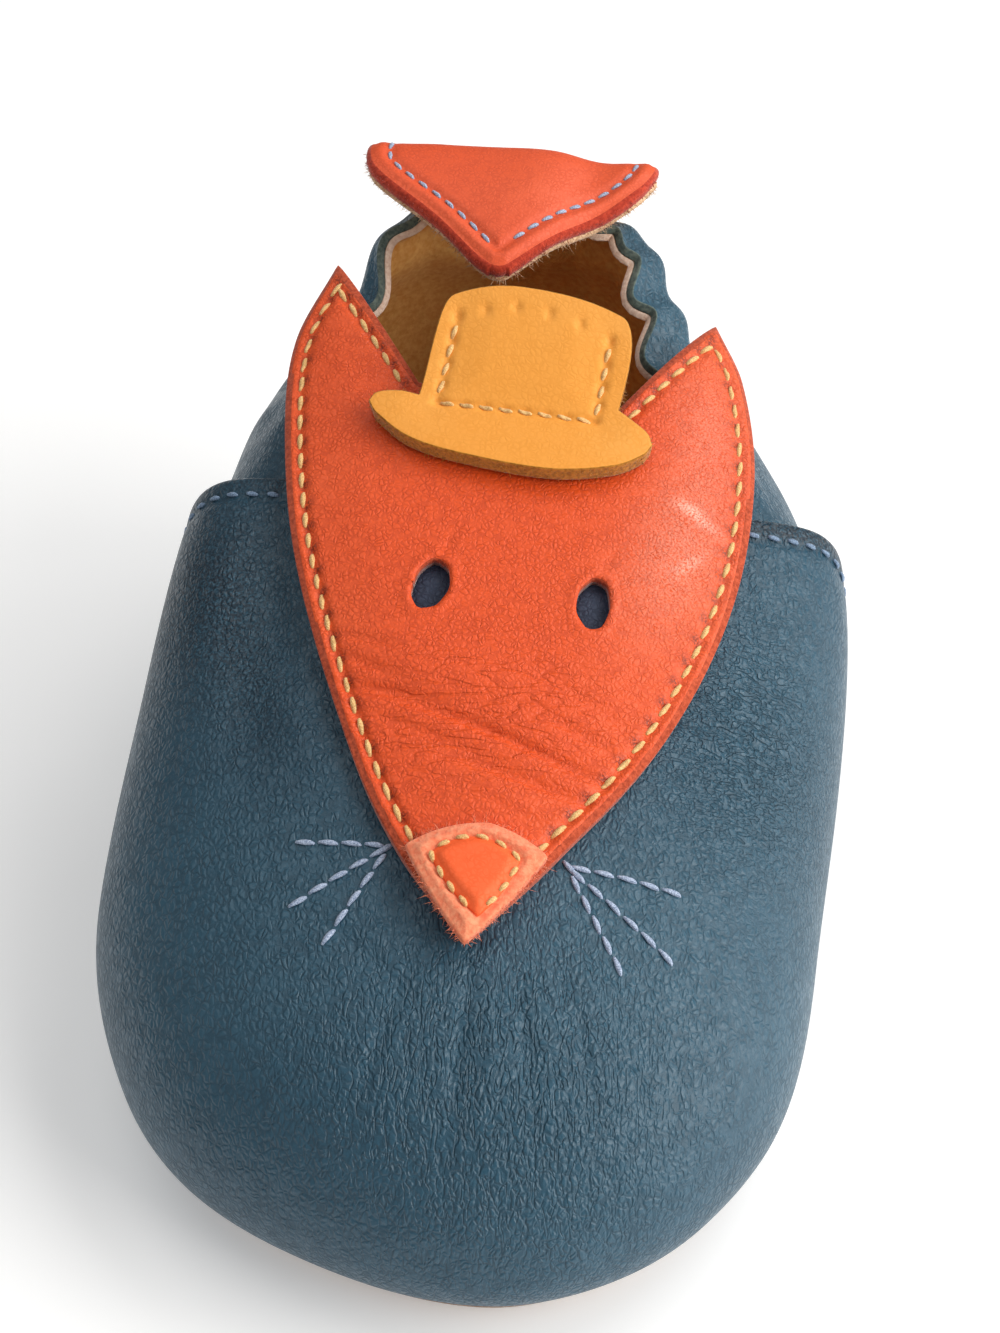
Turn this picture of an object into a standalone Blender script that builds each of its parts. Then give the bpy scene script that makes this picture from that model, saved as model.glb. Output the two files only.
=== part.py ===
"""Soft leather crib shoe for the right foot, standing empty on its suede sole.

Lengths in the tables are millimetres and become metres when a mesh is made.
Frame: toe towards -Y, heel towards +Y, inner (big toe) side towards +X, +Z up, floor at Z = 0.
"Along" is the distance from the toe tip, and "across" is to the inner side of the middle.
"""

import math

import bmesh
import bpy
import numpy as np

MM = 0.001

# Driving dimensions
LENGTH = 118.0
BALL_WIDTH = 72.0
INSTEP_HEIGHT = 44.0
COLLAR_HEIGHT = 52.0
WALL = 1.8
GAP = 0.35

# Sole, insole and the seam that joins them to the upper
SEAM_HEIGHT = 2.0
SOLE_THICKNESS = 1.6
SOLE_MARGIN = 0.8
INSOLE_THICKNESS = 1.2
INSOLE_MARGIN = 2.3
TOE_SPRING = 1.6
SPRING_END = 24.0
ARCH_RISE = 0.8
ARCH_START, ARCH_TOP, ARCH_END = 46.0, 66.0, 86.0

# Throat of the vamp: the edge is slanted, and its corners sweep back at a half width
THROAT_AT = 69.6
THROAT_SLANT = -0.09
THROAT_SWEEP = 4.5
THROAT_HALF = 33.0

# Heel quarter: its front ends are tucked inside the vamp, and an elastic gathers its collar
QUARTER_INNER_FRONT = 64.0
QUARTER_OUTER_FRONT = 70.0
QUARTER_INSET = 1.0
TUCK_FADE = 15.0
ARCH_FADE = 40.0
GATHER_AT = 0.84
GATHER_SPREAD = 0.1
PINCH = 1.4
FLARE = 1.2
RUFFLE = 0.7
RUFFLE_COUNT = 9

# Pieces on the vamp and at the heel
PANEL_THICKNESS = 1.3
PANEL_WIDEST = 0.9
EAR_RISE = 0.004
NOSE_THICKNESS = 1.1
HAT_THICKNESS = 1.7
HAT_BASE_AT = 76.5
HAT_TURN = 0.05
HAT_LEAN = 0.52
HAT_BEND = 1.5
TAB_THICKNESS = 1.5
TAB_LINING_THICKNESS = 1.0
TAB_WRAP_RADIUS = 22.0
CUTTER_HEIGHT = 90.0

# Plan of the upper at its widest level: place, across as a share of half the ball width, along
OUTLINE = (
    ("toe tip", 0.03, 0.0),
    ("inner toe", 0.55, 8.2),
    ("inner joint", 0.76, 19.0),
    ("inner ball", 0.875, 35.0),
    ("inner waist", 1.0, 70.0),
    ("inner heel", 0.80, 95.0),
    ("inner back", 0.46, 112.0),
    ("heel back", 0.01, LENGTH),
    ("outer back", -0.44, 112.0),
    ("outer heel", -0.78, 95.0),
    ("outer waist", -0.905, 72.0),
    ("outer ball", -1.025, 37.0),
    ("outer joint", -0.9, 20.0),
    ("outer toe", -0.685, 9.8),
)

# Crest of the vamp: place, along, height
CREST = (
    ("toe tip", 0.0, 9.4),
    ("toe nose", 2.2, 15.5),
    ("toe box", 9.0, 22.5),
    ("over the toes", 20.0, 27.0),
    ("ball", 38.0, 32.0),
    ("instep", 75.0, INSTEP_HEIGHT),
    ("ears", 98.0, 50.5),
    ("past the ears", LENGTH, 56.0),
)

# Side of the upper: place, along, height of its widest level, tuck below it, side power, top power
SIDES = (
    ("toe", 0.0, 9.4, 4.4, 2.2, 2.0),
    ("ball", 38.0, 11.0, 5.0, 2.3, 2.6),
    ("throat", 72.0, 18.0, 7.0, 2.6, 5.5),
    ("ears", 100.0, 16.0, 6.0, 2.4, 5.0),
    ("heel", LENGTH, 14.0, 5.0, 2.4, 5.0),
)

# Edge of the collar from the inner front round the heel to the outer front: place, across, along, height
COLLAR = (
    ("inner front", 16.5, 66.0, 38.8),
    ("inner side", 19.5, 86.0, 44.5),
    ("inner back", 13.0, 104.0, 50.5),
    ("back", 0.8, 108.5, COLLAR_HEIGHT),
    ("outer back", -11.5, 104.0, 50.5),
    ("outer side", -17.4, 88.0, 45.0),
    ("outer front", -14.5, 72.0, 39.8),
)

# Face panel, from the nose up the inner side, across the forehead and down the outer: place, across, along
FACE_INNER = (
    ("nose tip", -1.6, 21.2),
    ("cheek", 5.3, 29.7),
    ("jaw", 15.4, 43.2),
    ("temple", 22.3, 58.2),
    ("ear base", 25.0, 72.0),
    ("ear side", 24.6, 84.0),
    ("ear tip", 22.0, 90.5),
)
FACE_FOREHEAD = (
    ("inner notch", 11.2, 77.2),
    ("outer notch", -8.0, 80.5),
)
FACE_OUTER = (
    ("ear tip", -16.6, 95.6),
    ("ear side", -20.3, 87.5),
    ("ear base", -20.8, 77.0),
    ("temple", -18.8, 61.6),
    ("jaw", -12.5, 41.1),
    ("cheek", -7.6, 30.4),
    ("nose tip", -1.6, 21.2),
)

# Eye holes: side, across, along, half width, half length
EYES = (
    ("inner", 9.2, 55.8, 1.6, 2.9),
    ("outer", -5.9, 57.3, 1.75, 2.9),
)

# Nose patch: place, across, along
NOSE = (
    ("tip", -1.6, 20.6),
    ("inner corner", 4.9, 28.9),
    ("top", -0.4, 31.8),
    ("outer corner", -6.9, 29.3),
)

# Hat, with its crown leaning back from the brim: place, across, along
HAT_BRIM = (
    ("outer tip", -12.3, 76.0),
    ("outer front", -8.4, 71.5),
    ("middle front", -3.4, 69.4),
    ("inner front", 5.0, 67.7),
    ("inner edge", 11.0, 68.4),
    ("inner tip", 14.5, 71.0),
)
HAT_CROWN = (
    ("inner base", 11.5, 75.5),
    ("inner top", 13.2, 83.4),
    ("top", 4.5, 85.5),
    ("outer top", -5.3, 84.9),
    ("outer base", -7.6, 76.7),
)

# Heel tab, folded forward over the collar: place, along, height, half width, middle
TAB = (
    ("sewn end", 117.4, 40.0, 5.0, 0.6),
    ("up the heel", 114.6, 47.0, 9.0, 0.7),
    ("behind the fold", 113.4, 53.4, 12.8, 0.9),
    ("top of the fold", 108.8, 58.2, 15.0, 1.1),
    ("in front of the fold", 104.0, 58.3, 13.8, 1.0),
    ("forward", 97.0, 56.8, 6.8, 0.3),
    ("tip", 90.3, 54.4, 0.9, -0.4),
)

# Colours of the pieces, linear red, green and blue
BLUE = (0.03, 0.08, 0.12)
ORANGE = (0.65, 0.11, 0.03)
OCHRE = (0.85, 0.40, 0.08)
TAN = (0.42, 0.24, 0.11)
SALMON = (0.85, 0.25, 0.12)


def smooth_path(points, count, closed=False):
    """Points along a cubic curve through the given points, with chord-length steps and Catmull-Rom tangents."""
    points = np.asarray(points, float)
    if closed:
        ring = np.vstack([points[-1], points, points[0], points[1]])
    else:
        ring = np.vstack([2 * points[0] - points[1], points, 2 * points[-1] - points[-2]])
    knots = arc_length(ring)
    tangents = (ring[2:] - ring[:-2]) / (knots[2:] - knots[:-2])[:, None]
    places = np.linspace(knots[1], knots[-2], count, endpoint=not closed)
    span = np.clip(np.searchsorted(knots, places, side="right") - 1, 1, len(ring) - 3)
    step = (knots[span + 1] - knots[span])[:, None]
    t = (places - knots[span])[:, None] / step
    start, end = ring[span], ring[span + 1]
    leave, arrive = tangents[span - 1] * step, tangents[span] * step
    return (
        (2 * t**3 - 3 * t**2 + 1) * start
        + (t**3 - 2 * t**2 + t) * leave
        + (3 * t**2 - 2 * t**3) * end
        + (t**3 - t**2) * arrive
    )


def arc_length(points):
    """Distance along a run of points, from its first."""
    return np.concatenate([[0.0], np.cumsum(np.linalg.norm(np.diff(points, axis=0), axis=1))])


def ease(low, high, value):
    """Smooth step from 0 at low to 1 at high."""
    t = np.clip((np.asarray(value, float) - low) / (high - low), 0.0, 1.0)
    return t * t * (3 - 2 * t)


def column(table, number, along):
    """A table's column read at places along the foot."""
    return np.interp(along, [row[1] for row in table], [row[number] for row in table])


def plan_points(table):
    """Across and along of each row of a table of places."""
    return [row[1:3] for row in table]


PLAN = smooth_path([(BALL_WIDTH / 2 * share, along) for _, share, along in OUTLINE], 1440, closed=True)
PLAN = np.roll(PLAN, -int(np.argmin(PLAN[:, 1])), axis=0)
HEEL_INDEX = int(np.argmax(PLAN[:, 1]))
INNER_SIDE = PLAN[: HEEL_INDEX + 1]
OUTER_SIDE = np.vstack([PLAN[:1], PLAN[: HEEL_INDEX - 1 : -1]])
CREST_LINE = smooth_path([row[1:] for row in CREST], 600)
PLAN_CENTRE = (PLAN.min(axis=0) + PLAN.max(axis=0)) / 2


def section(along):
    """Middle and half width of the upper at places along the foot."""
    inner = np.interp(along, INNER_SIDE[:, 1], INNER_SIDE[:, 0])
    outer = np.interp(along, OUTER_SIDE[:, 1], OUTER_SIDE[:, 0])
    return (inner + outer) / 2, np.maximum((inner - outer) / 2, 1e-6)


def dome(x, y, inset=0.0, widest=1.0):
    """Height of the vamp's outer surface, a superellipse section between its two side lines."""
    middle, half = section(y)
    across = np.clip(np.abs(x - middle) / np.maximum(half - inset, 1e-6), 0.0, widest)
    crest = np.interp(y, CREST_LINE[:, 0], CREST_LINE[:, 1]) - inset
    side = column(SIDES, 2, y)
    fullness = (1 - across ** column(SIDES, 4, y)) ** (1 / column(SIDES, 5, y))
    return side + np.maximum(crest - side, 0.0) * fullness


def panel_height(x, y):
    """The vamp's surface carried on past the throat, where the ears rise off its line."""
    past = np.maximum(y - THROAT_AT, 0.0)
    return dome(x, y, widest=PANEL_WIDEST) + EAR_RISE * past**2


def hat_height(x, y):
    """The vamp's surface, bent up along the brim line into the leaning crown."""
    behind = (y - HAT_BASE_AT + HAT_TURN * x) / HAT_BEND
    return dome(x, y, widest=PANEL_WIDEST) + HAT_LEAN * HAT_BEND * np.log1p(np.exp(behind))


def floor_lift(along):
    """How far the sole's underside stands off the floor: spring at the toe and a low arch at the waist."""
    spring = TOE_SPRING * (1 - ease(0.0, SPRING_END, along))
    arch = ARCH_RISE * ease(ARCH_START, ARCH_TOP, along) * (1 - ease(ARCH_TOP, ARCH_END, along))
    return spring + arch


def outward(points):
    """Unit plan normals pointing out of the outline at points that run along it anticlockwise."""
    run = np.gradient(points, axis=0)
    normal = np.stack([run[:, 1], -run[:, 0]], axis=1)
    return normal / np.linalg.norm(normal, axis=1)[:, None]


def skirt(points, normals, steps):
    """Rows below the widest level: a quarter ellipse that tucks under to the sole seam, seam first."""
    turn = np.linspace(math.pi / 2, 0.0, steps, endpoint=False)[:, None]
    along = points[:, 1]
    inset = column(SIDES, 3, along) * (1 - np.cos(turn))
    side = column(SIDES, 2, along)
    seam = SEAM_HEIGHT + floor_lift(along)
    plan = points[None] - normals[None] * inset[..., None]
    return np.dstack([plan, side - (side - seam) * np.sin(turn)])


def vamp_surface(rows=22, columns=27, steps=4):
    """Outer surface of the vamp: sections from the toe to the slanted throat, each from seam to seam."""
    arc = arc_length(INNER_SIDE)
    last = np.interp(THROAT_AT, INNER_SIDE[:, 1], arc)
    middle_y = np.interp(np.linspace(0.0, last, rows), arc, INNER_SIDE[:, 1])[:, None]
    angle = np.linspace(math.pi, 0.0, columns)
    swing = (middle_y / THROAT_AT) ** 2
    y = np.repeat(middle_y, columns, axis=1)
    for _ in range(4):
        middle, half = section(y)
        reach = np.abs(np.cos(angle)) ** (2 / column(SIDES, 4, y))
        x = middle + half * np.sign(np.cos(angle)) * reach
        y = middle_y + swing * (THROAT_SLANT * x + THROAT_SWEEP * (x / THROAT_HALF) ** 4)
    top = np.dstack([x, y, dome(x, y)])
    outer, inner = top[:, 0, :2], top[:, -1, :2]
    normal = outward(np.vstack([outer[::-1], inner[1:]]))
    outer_skirt = skirt(outer, normal[rows - 1 :: -1], steps).transpose(1, 0, 2)
    inner_skirt = skirt(inner, normal[rows - 1 :], steps).transpose(1, 0, 2)
    return np.concatenate([outer_skirt, top, inner_skirt[:, ::-1]], axis=1)


def quarter_surface(columns=46, rows=11, steps=3):
    """Outer surface of the heel quarter: columns round the heel, each from the seam to the gathered collar."""
    first = int(np.argmax(INNER_SIDE[:, 1] > QUARTER_INNER_FRONT))
    last = len(PLAN) - int(np.argmax(OUTER_SIDE[:, 1] > QUARTER_OUTER_FRONT))
    track = PLAN[first:last]
    arc = arc_length(track)
    share = np.linspace(0.0, 1.0, columns)
    base = np.stack([np.interp(share * arc[-1], arc, track[:, k]) for k in (0, 1)], axis=1)
    normal = outward(base)
    behind = base[:, 1] - np.where(base[:, 0] > 0, QUARTER_INNER_FRONT, QUARTER_OUTER_FRONT)
    tucked = 1 - ease(0.0, TUCK_FADE, behind)
    arched = 1 - ease(0.0, ARCH_FADE, behind)
    base = base - normal * (QUARTER_INSET * arched)[:, None]
    collar = smooth_path([row[1:] for row in COLLAR], columns)

    rise = np.sin(np.linspace(0.0, math.pi / 2, rows))[:, None]
    lean = (1 - rise ** (2.3 + 0.7 * arched)) ** (1 / (1 + 1.3 * arched))
    side = column(SIDES, 2, base[:, 1])
    plan = collar[None, :, :2] + (base - collar[:, :2])[None] * lean[..., None]
    height = side + (collar[:, 2] - side) * rise
    under_vamp = np.minimum(dome(plan[..., 0], plan[..., 1], QUARTER_INSET), collar[:, 2] + 1.0)
    height = height + (under_vamp - height) * tucked
    gather = (
        FLARE * ease(GATHER_AT, 1.0, rise)
        - PINCH * np.exp(-(((rise - GATHER_AT) / GATHER_SPREAD) ** 2))
        + RUFFLE * ease(GATHER_AT, 1.0, rise) * np.cos(2 * math.pi * RUFFLE_COUNT * share)
    )
    plan = plan + normal[None] * (gather * (1 - arched))[..., None]
    return np.concatenate([skirt(base, normal, steps), np.dstack([plan, height])], axis=0)


def floor_surface(inset, level, stations=30, across=(0.5, 0.86, 0.97, 1.0)):
    """Top face of a flat piece inside the seam line: stations along the foot, points across."""
    normal = outward(np.vstack([PLAN[-1:], PLAN, PLAN[:1]]))[1:-1]
    line = PLAN - normal * (column(SIDES, 3, PLAN[:, 1]) + inset)[:, None]
    line = np.roll(line, -int(np.argmin(line[:, 1])), axis=0)
    heel = int(np.argmax(line[:, 1]))
    inner = line[: heel + 1]
    outer = np.vstack([line[:1], line[: heel - 1 : -1]])
    turn = np.linspace(0.0, math.pi, stations)[:, None]
    y = line[0, 1] + (line[heel, 1] - line[0, 1]) * (1 - np.cos(turn)) / 2
    low = np.interp(y, outer[:, 1], outer[:, 0])
    high = np.interp(y, inner[:, 1], inner[:, 0])
    share = np.concatenate([-np.array(across[::-1]), [0.0], across])
    x = (low + high) / 2 + (high - low) / 2 * share
    y = np.repeat(y, len(share), axis=1)
    return np.dstack([x, y, level + floor_lift(y)])


def raised_surface(height, offset, box, step):
    """A grid over a box of the plan, moved out from a surface along its normal."""
    x = np.linspace(box[0], box[1], int((box[1] - box[0]) / step) + 2)
    y = np.linspace(box[2], box[3], int((box[3] - box[2]) / step) + 2)
    x, y = np.meshgrid(x, y)
    half = 0.05
    slope_x = (height(x + half, y) - height(x - half, y)) / (2 * half)
    slope_y = (height(x, y + half) - height(x, y - half)) / (2 * half)
    normal = np.dstack([-slope_x, -slope_y, np.ones_like(x)])
    normal /= np.linalg.norm(normal, axis=2)[..., None]
    return np.dstack([x, y, height(x, y)]) + normal * offset


def tab_surface(depth, rows=20, columns=9):
    """The folded tab's sheet, moved inwards by a depth from its outer face."""
    path = smooth_path([row[1:] for row in TAB], rows)
    run = np.gradient(path[:, :2], axis=0)
    normal = np.stack([run[:, 1], -run[:, 0]], axis=1)
    line = path[:, :2] - normal / np.linalg.norm(normal, axis=1)[:, None] * depth
    offset = path[:, 2:3] * np.linspace(1.0, -1.0, columns)
    upright = 1 - ease(46.0, 56.0, path[:, 1:2])
    wrap = -(offset**2) / (2 * TAB_WRAP_RADIUS) * (0.1 + 0.9 * upright)
    curl = offset**2 * np.where(offset > 0, -0.002, 0.005) * (1 - upright)
    return np.dstack([path[:, 3:4] + offset, line[:, :1] + wrap, line[:, 1:] + curl])


def place(part, collection, frame):
    """Puts an object in its collection and in the shoe's frame."""
    collection.objects.link(part)
    part.parent = frame
    return part


def sheet(name, grid, thickness):
    """A wall grown inwards from a grid of points on its outer face."""
    rows, columns = grid.shape[:2]
    index = np.arange(rows * columns).reshape(rows, columns)
    quads = np.stack([index[:-1, :-1], index[:-1, 1:], index[1:, 1:], index[1:, :-1]], axis=-1)
    mesh = bpy.data.meshes.new(name)
    mesh.from_pydata((grid.reshape(-1, 3) * MM).tolist(), [], quads.reshape(-1, 4).tolist())
    shape = bmesh.new()
    shape.from_mesh(mesh)
    bmesh.ops.remove_doubles(shape, verts=shape.verts, dist=1e-7)
    shape.to_mesh(mesh)
    shape.free()
    mesh.shade_smooth()
    part = bpy.data.objects.new(name, mesh)
    wall = part.modifiers.new("wall", "SOLIDIFY")
    wall.thickness = thickness * MM
    wall.offset = -1.0
    wall.use_even_offset = True
    wall.use_quality_normals = True
    return part


def cutter(name, outline):
    """An upright prism with a closed plan outline."""
    shape = bmesh.new()
    base = shape.faces.new([shape.verts.new((x * MM, y * MM, 0.0)) for x, y in outline])
    raised = bmesh.ops.extrude_face_region(shape, geom=[base])["geom"]
    top = [item for item in raised if isinstance(item, bmesh.types.BMVert)]
    bmesh.ops.translate(shape, verts=top, vec=(0.0, 0.0, CUTTER_HEIGHT * MM))
    bmesh.ops.recalc_face_normals(shape, faces=shape.faces)
    mesh = bpy.data.meshes.new(name)
    shape.to_mesh(mesh)
    shape.free()
    return bpy.data.objects.new(name, mesh)


def combine(part, other, operation):
    """A Boolean between a part and a helper, which stays out of the render."""
    step = part.modifiers.new(operation.lower(), "BOOLEAN")
    step.operation = operation
    step.solver = "EXACT"
    step.object = other
    other.hide_render = True
    other.display_type = "WIRE"


def paint(part, colour, roughness=0.7):
    """A plain material of the piece's own."""
    material = bpy.data.materials.new(part.name + "_material")
    material.use_nodes = True
    shader = material.node_tree.nodes["Principled BSDF"]
    shader.inputs["Base Color"].default_value = (*colour, 1.0)
    shader.inputs["Roughness"].default_value = roughness
    part.data.materials.append(material)


def make_soles():
    sole = sheet("sole", floor_surface(-SOLE_MARGIN, SOLE_THICKNESS), SOLE_THICKNESS)
    level = SOLE_THICKNESS + GAP + INSOLE_THICKNESS
    insole = sheet("insole", floor_surface(INSOLE_MARGIN, level, 24, (0.6, 0.95, 1.0)), INSOLE_THICKNESS)
    paint(sole, TAN, 0.9)
    paint(insole, TAN, 0.9)
    return [sole, insole], []


def make_upper():
    upper = sheet("upper", vamp_surface(), WALL)
    quarter = sheet("heel_quarter", quarter_surface(), WALL)
    combine(upper, quarter, "UNION")
    paint(upper, BLUE, 0.5)
    return [upper], [quarter]


def make_face():
    grid = raised_surface(panel_height, GAP + PANEL_THICKNESS, (-24.0, 28.0, 17.0, 102.0), 3.3)
    face = sheet("face_panel", grid, PANEL_THICKNESS)
    inner = smooth_path(plan_points(FACE_INNER), 22)
    outer = smooth_path(plan_points(FACE_OUTER), 22)
    outline = cutter("face_outline", np.vstack([inner, plan_points(FACE_FOREHEAD), outer[:-1]]))
    combine(face, outline, "INTERSECT")
    helpers = [outline]
    turn = np.linspace(0.0, 2 * math.pi, 20, endpoint=False)
    for side, across, along, half_width, half_length in EYES:
        oval = np.column_stack([across + half_width * np.cos(turn), along + half_length * np.sin(turn)])
        hole = cutter("eye_" + side, oval)
        combine(face, hole, "DIFFERENCE")
        helpers.append(hole)
    paint(face, ORANGE, 0.5)
    return [face], helpers


def make_nose():
    base = 2 * GAP + PANEL_THICKNESS
    grid = raised_surface(panel_height, base + NOSE_THICKNESS, (-10.0, 8.0, 17.0, 36.0), 3.0)
    nose = sheet("nose_patch", grid, NOSE_THICKNESS)
    outline = cutter("nose_outline", smooth_path(plan_points(NOSE), 32, closed=True))
    combine(nose, outline, "INTERSECT")
    paint(nose, SALMON, 0.8)
    return [nose], [outline]


def make_hat():
    base = 2 * GAP + PANEL_THICKNESS
    grid = raised_surface(hat_height, base + HAT_THICKNESS, (-16.0, 19.0, 63.0, 91.0), 2.2)
    hat = sheet("hat", grid, HAT_THICKNESS)
    brim = smooth_path(plan_points(HAT_BRIM), 18)
    crown_top = smooth_path(plan_points(HAT_CROWN[1:-1]), 8)
    base_corners = plan_points(HAT_CROWN)
    outline = cutter("hat_outline", np.vstack([brim, base_corners[:1], crown_top, base_corners[-1:]]))
    combine(hat, outline, "INTERSECT")
    paint(hat, OCHRE, 0.6)
    return [hat], [outline]


def make_tab():
    tab = sheet("heel_tab", tab_surface(0.0), TAB_THICKNESS)
    lining = sheet("heel_tab_lining", tab_surface(TAB_THICKNESS + GAP), TAB_LINING_THICKNESS)
    paint(tab, ORANGE, 0.5)
    paint(lining, TAN, 0.9)
    return [tab, lining], []


def build():
    for old in list(bpy.data.objects):
        bpy.data.objects.remove(old)
    shoe = bpy.data.collections.new("crib_shoe")
    helpers = bpy.data.collections.new("crib_shoe_helpers")
    bpy.context.scene.collection.children.link(shoe)
    bpy.context.scene.collection.children.link(helpers)
    frame = bpy.data.objects.new("crib_shoe_frame", None)
    frame.location = (-PLAN_CENTRE[0] * MM, -PLAN_CENTRE[1] * MM, 0.0)
    shoe.objects.link(frame)
    for make in (make_soles, make_upper, make_face, make_nose, make_hat, make_tab):
        pieces, tools = make()
        for piece in pieces:
            place(piece, shoe, frame)
        for tool in tools:
            place(tool, helpers, frame)


build()
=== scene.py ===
# %% [markdown]
# # A soft crib shoe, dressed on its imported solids
# The frame holds a baby's soft shoe as plain solids: sole, insole, upper, face panel, nose patch, hat, heel
# tab and the tab's lining. This lesson gives each of them its leather, suede and thread.
# Every piece is a surface worked out with numpy from short tables of sizes, most of them those the solids
# came from, so each lies where its solid lies. Sculpting by hand would also do, but nobody could read or
# change the sizes.

# %% Load the frame
import math

import bmesh
import bpy
import numpy as np
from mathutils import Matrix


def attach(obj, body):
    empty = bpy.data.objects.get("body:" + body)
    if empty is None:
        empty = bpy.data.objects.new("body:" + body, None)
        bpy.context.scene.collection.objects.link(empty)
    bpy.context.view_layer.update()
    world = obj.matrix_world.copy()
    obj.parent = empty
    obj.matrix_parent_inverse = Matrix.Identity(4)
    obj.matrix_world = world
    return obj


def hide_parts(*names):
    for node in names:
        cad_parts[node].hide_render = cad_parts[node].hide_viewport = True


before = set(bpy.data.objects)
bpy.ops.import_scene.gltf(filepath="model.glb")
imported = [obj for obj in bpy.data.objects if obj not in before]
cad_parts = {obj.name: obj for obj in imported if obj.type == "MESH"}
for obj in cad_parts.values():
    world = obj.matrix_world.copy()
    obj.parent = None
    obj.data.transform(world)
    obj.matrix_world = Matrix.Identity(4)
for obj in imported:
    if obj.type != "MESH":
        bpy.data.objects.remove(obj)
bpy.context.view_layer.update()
print("solids in the frame:", ", ".join(sorted(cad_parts)))

# %% [markdown]
# ## Curves from tables
# A shoemaker draws the outline of a last through a few measured points. A smooth curve through a table does
# the same: a cubic with Catmull-Rom tangents passes through every row, and chord-length steps keep it from
# overshooting where the rows are unevenly spaced. A Bezier curve object could be drawn instead, but here the
# points are needed as arrays.
# In all tables "along" is the distance from the toe tip and "across" is to the inner, big toe side, in mm.

# %% Curves and steps
MM = 0.001
CURVE_STEPS = 400


def arc_length(points):
    """Distance along a run of points, from its first."""
    return np.concatenate([[0.0], np.cumsum(np.linalg.norm(np.diff(points, axis=0), axis=1))])


def smooth_path(points, count, closed=False):
    """Cubic curve through points: Hermite spans with Catmull-Rom tangents over chord-length steps."""
    points = np.asarray(points, float)
    if closed:
        ring = np.vstack([points[-1], points, points[0], points[1]])
    else:
        ring = np.vstack([2 * points[0] - points[1], points, 2 * points[-1] - points[-2]])
    knots = arc_length(ring)
    tangents = (ring[2:] - ring[:-2]) / (knots[2:] - knots[:-2])[:, None]
    places = np.linspace(knots[1], knots[-2], count, endpoint=not closed)
    span = np.clip(np.searchsorted(knots, places, side="right") - 1, 1, len(ring) - 3)
    step = (knots[span + 1] - knots[span])[:, None]
    t = (places - knots[span])[:, None] / step
    leave, arrive = tangents[span - 1] * step, tangents[span] * step
    start = (2 * t**3 - 3 * t**2 + 1) * ring[span] + (t**3 - 2 * t**2 + t) * leave
    return start + (3 * t**2 - 2 * t**3) * ring[span + 1] + (t**3 - t**2) * arrive


def at_arc(points, places):
    """Points read off a run at distances along it."""
    arc = arc_length(points)
    return np.stack([np.interp(places, arc, points[:, k]) for k in range(points.shape[1])], axis=-1)


def even(points, count):
    """The same run with evenly spaced points."""
    return at_arc(points, np.linspace(0.0, arc_length(points)[-1], count))


def ease(low, high, value):
    """Smooth step from 0 at low to 1 at high."""
    t = np.clip((np.asarray(value, float) - low) / (high - low), 0.0, 1.0)
    return t * t * (3 - 2 * t)


def column(table, number, along):
    """A table's column as a smooth curve, read at places along the foot."""
    curve = smooth_path([(row[1], row[number]) for row in table], CURVE_STEPS)
    return np.interp(along, curve[:, 0], curve[:, 1])


def plan_points(table):
    """Across and along of each row of a table of places."""
    return [row[1:3] for row in table]


print("a smooth step at a quarter of its way:", float(ease(0.0, 1.0, 0.25)))

# %% [markdown]
# ## The last
# The leather takes its form from a last: a plan outline at the widest level, a crest line seen from the side,
# and sections between them. Each section is a superellipse, whose two powers say how full its sides and its
# top are. One height function then gives the vamp, and everything sewn on the vamp uses it too.

# %% Plan, crest and sections of the last
LENGTH = 118.0
HALF_BALL = 36.0

# Plan of the upper at its widest level: place, across as a share of half the ball width, along
OUTLINE = (
    ("toe tip", 0.03, 0.0),
    ("inner toe front", 0.315, 2.4),
    ("inner toe", 0.55, 8.2),
    ("inner joint", 0.76, 19.0),
    ("inner ball", 0.875, 35.0),
    ("inner waist", 1.0, 70.0),
    ("inner heel", 0.80, 95.0),
    ("inner back", 0.46, 112.0),
    ("heel back", 0.01, LENGTH),
    ("outer back", -0.44, 112.0),
    ("outer heel", -0.78, 95.0),
    ("outer waist", -0.905, 72.0),
    ("outer ball", -1.025, 37.0),
    ("outer joint", -0.9, 20.0),
    ("outer toe", -0.685, 9.8),
    ("outer toe front", -0.31, 2.4),
)

# Crest of the vamp: place, along, height
CREST = (
    ("toe tip", 0.0, 9.4),
    ("toe nose", 2.2, 15.5),
    ("toe box", 9.0, 22.5),
    ("over the toes", 20.0, 27.0),
    ("ball", 38.0, 32.0),
    ("instep", 75.0, 44.0),
    ("ears", 98.0, 50.5),
    ("past the ears", LENGTH, 56.0),
)

# Side of the upper: place, along, height of its widest level, tuck below it, side power, top power
SIDES = (
    ("toe", 0.0, 9.4, 4.4, 2.2, 2.0),
    ("toe box", 14.0, 9.9, 5.6, 2.25, 2.15),
    ("ball", 38.0, 11.0, 5.0, 2.3, 2.6),
    ("instep", 54.0, 14.3, 5.9, 2.42, 3.3),
    ("throat", 72.0, 18.0, 7.0, 2.6, 5.5),
    ("ears", 100.0, 16.0, 6.0, 2.4, 5.0),
    ("heel", LENGTH, 14.0, 5.0, 2.4, 5.0),
)
SIDE_LEVEL, TUCK, SIDE_POWER, TOP_POWER = 2, 3, 4, 5
SEAM_HEIGHT = 1.75
TOE_SPRING, SPRING_END = 1.6, 24.0
ARCH_RISE = 0.8
ARCH_START, ARCH_TOP, ARCH_END = 46.0, 66.0, 86.0
PLAN_STEPS, CREST_STEPS = 2880, 1200

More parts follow.
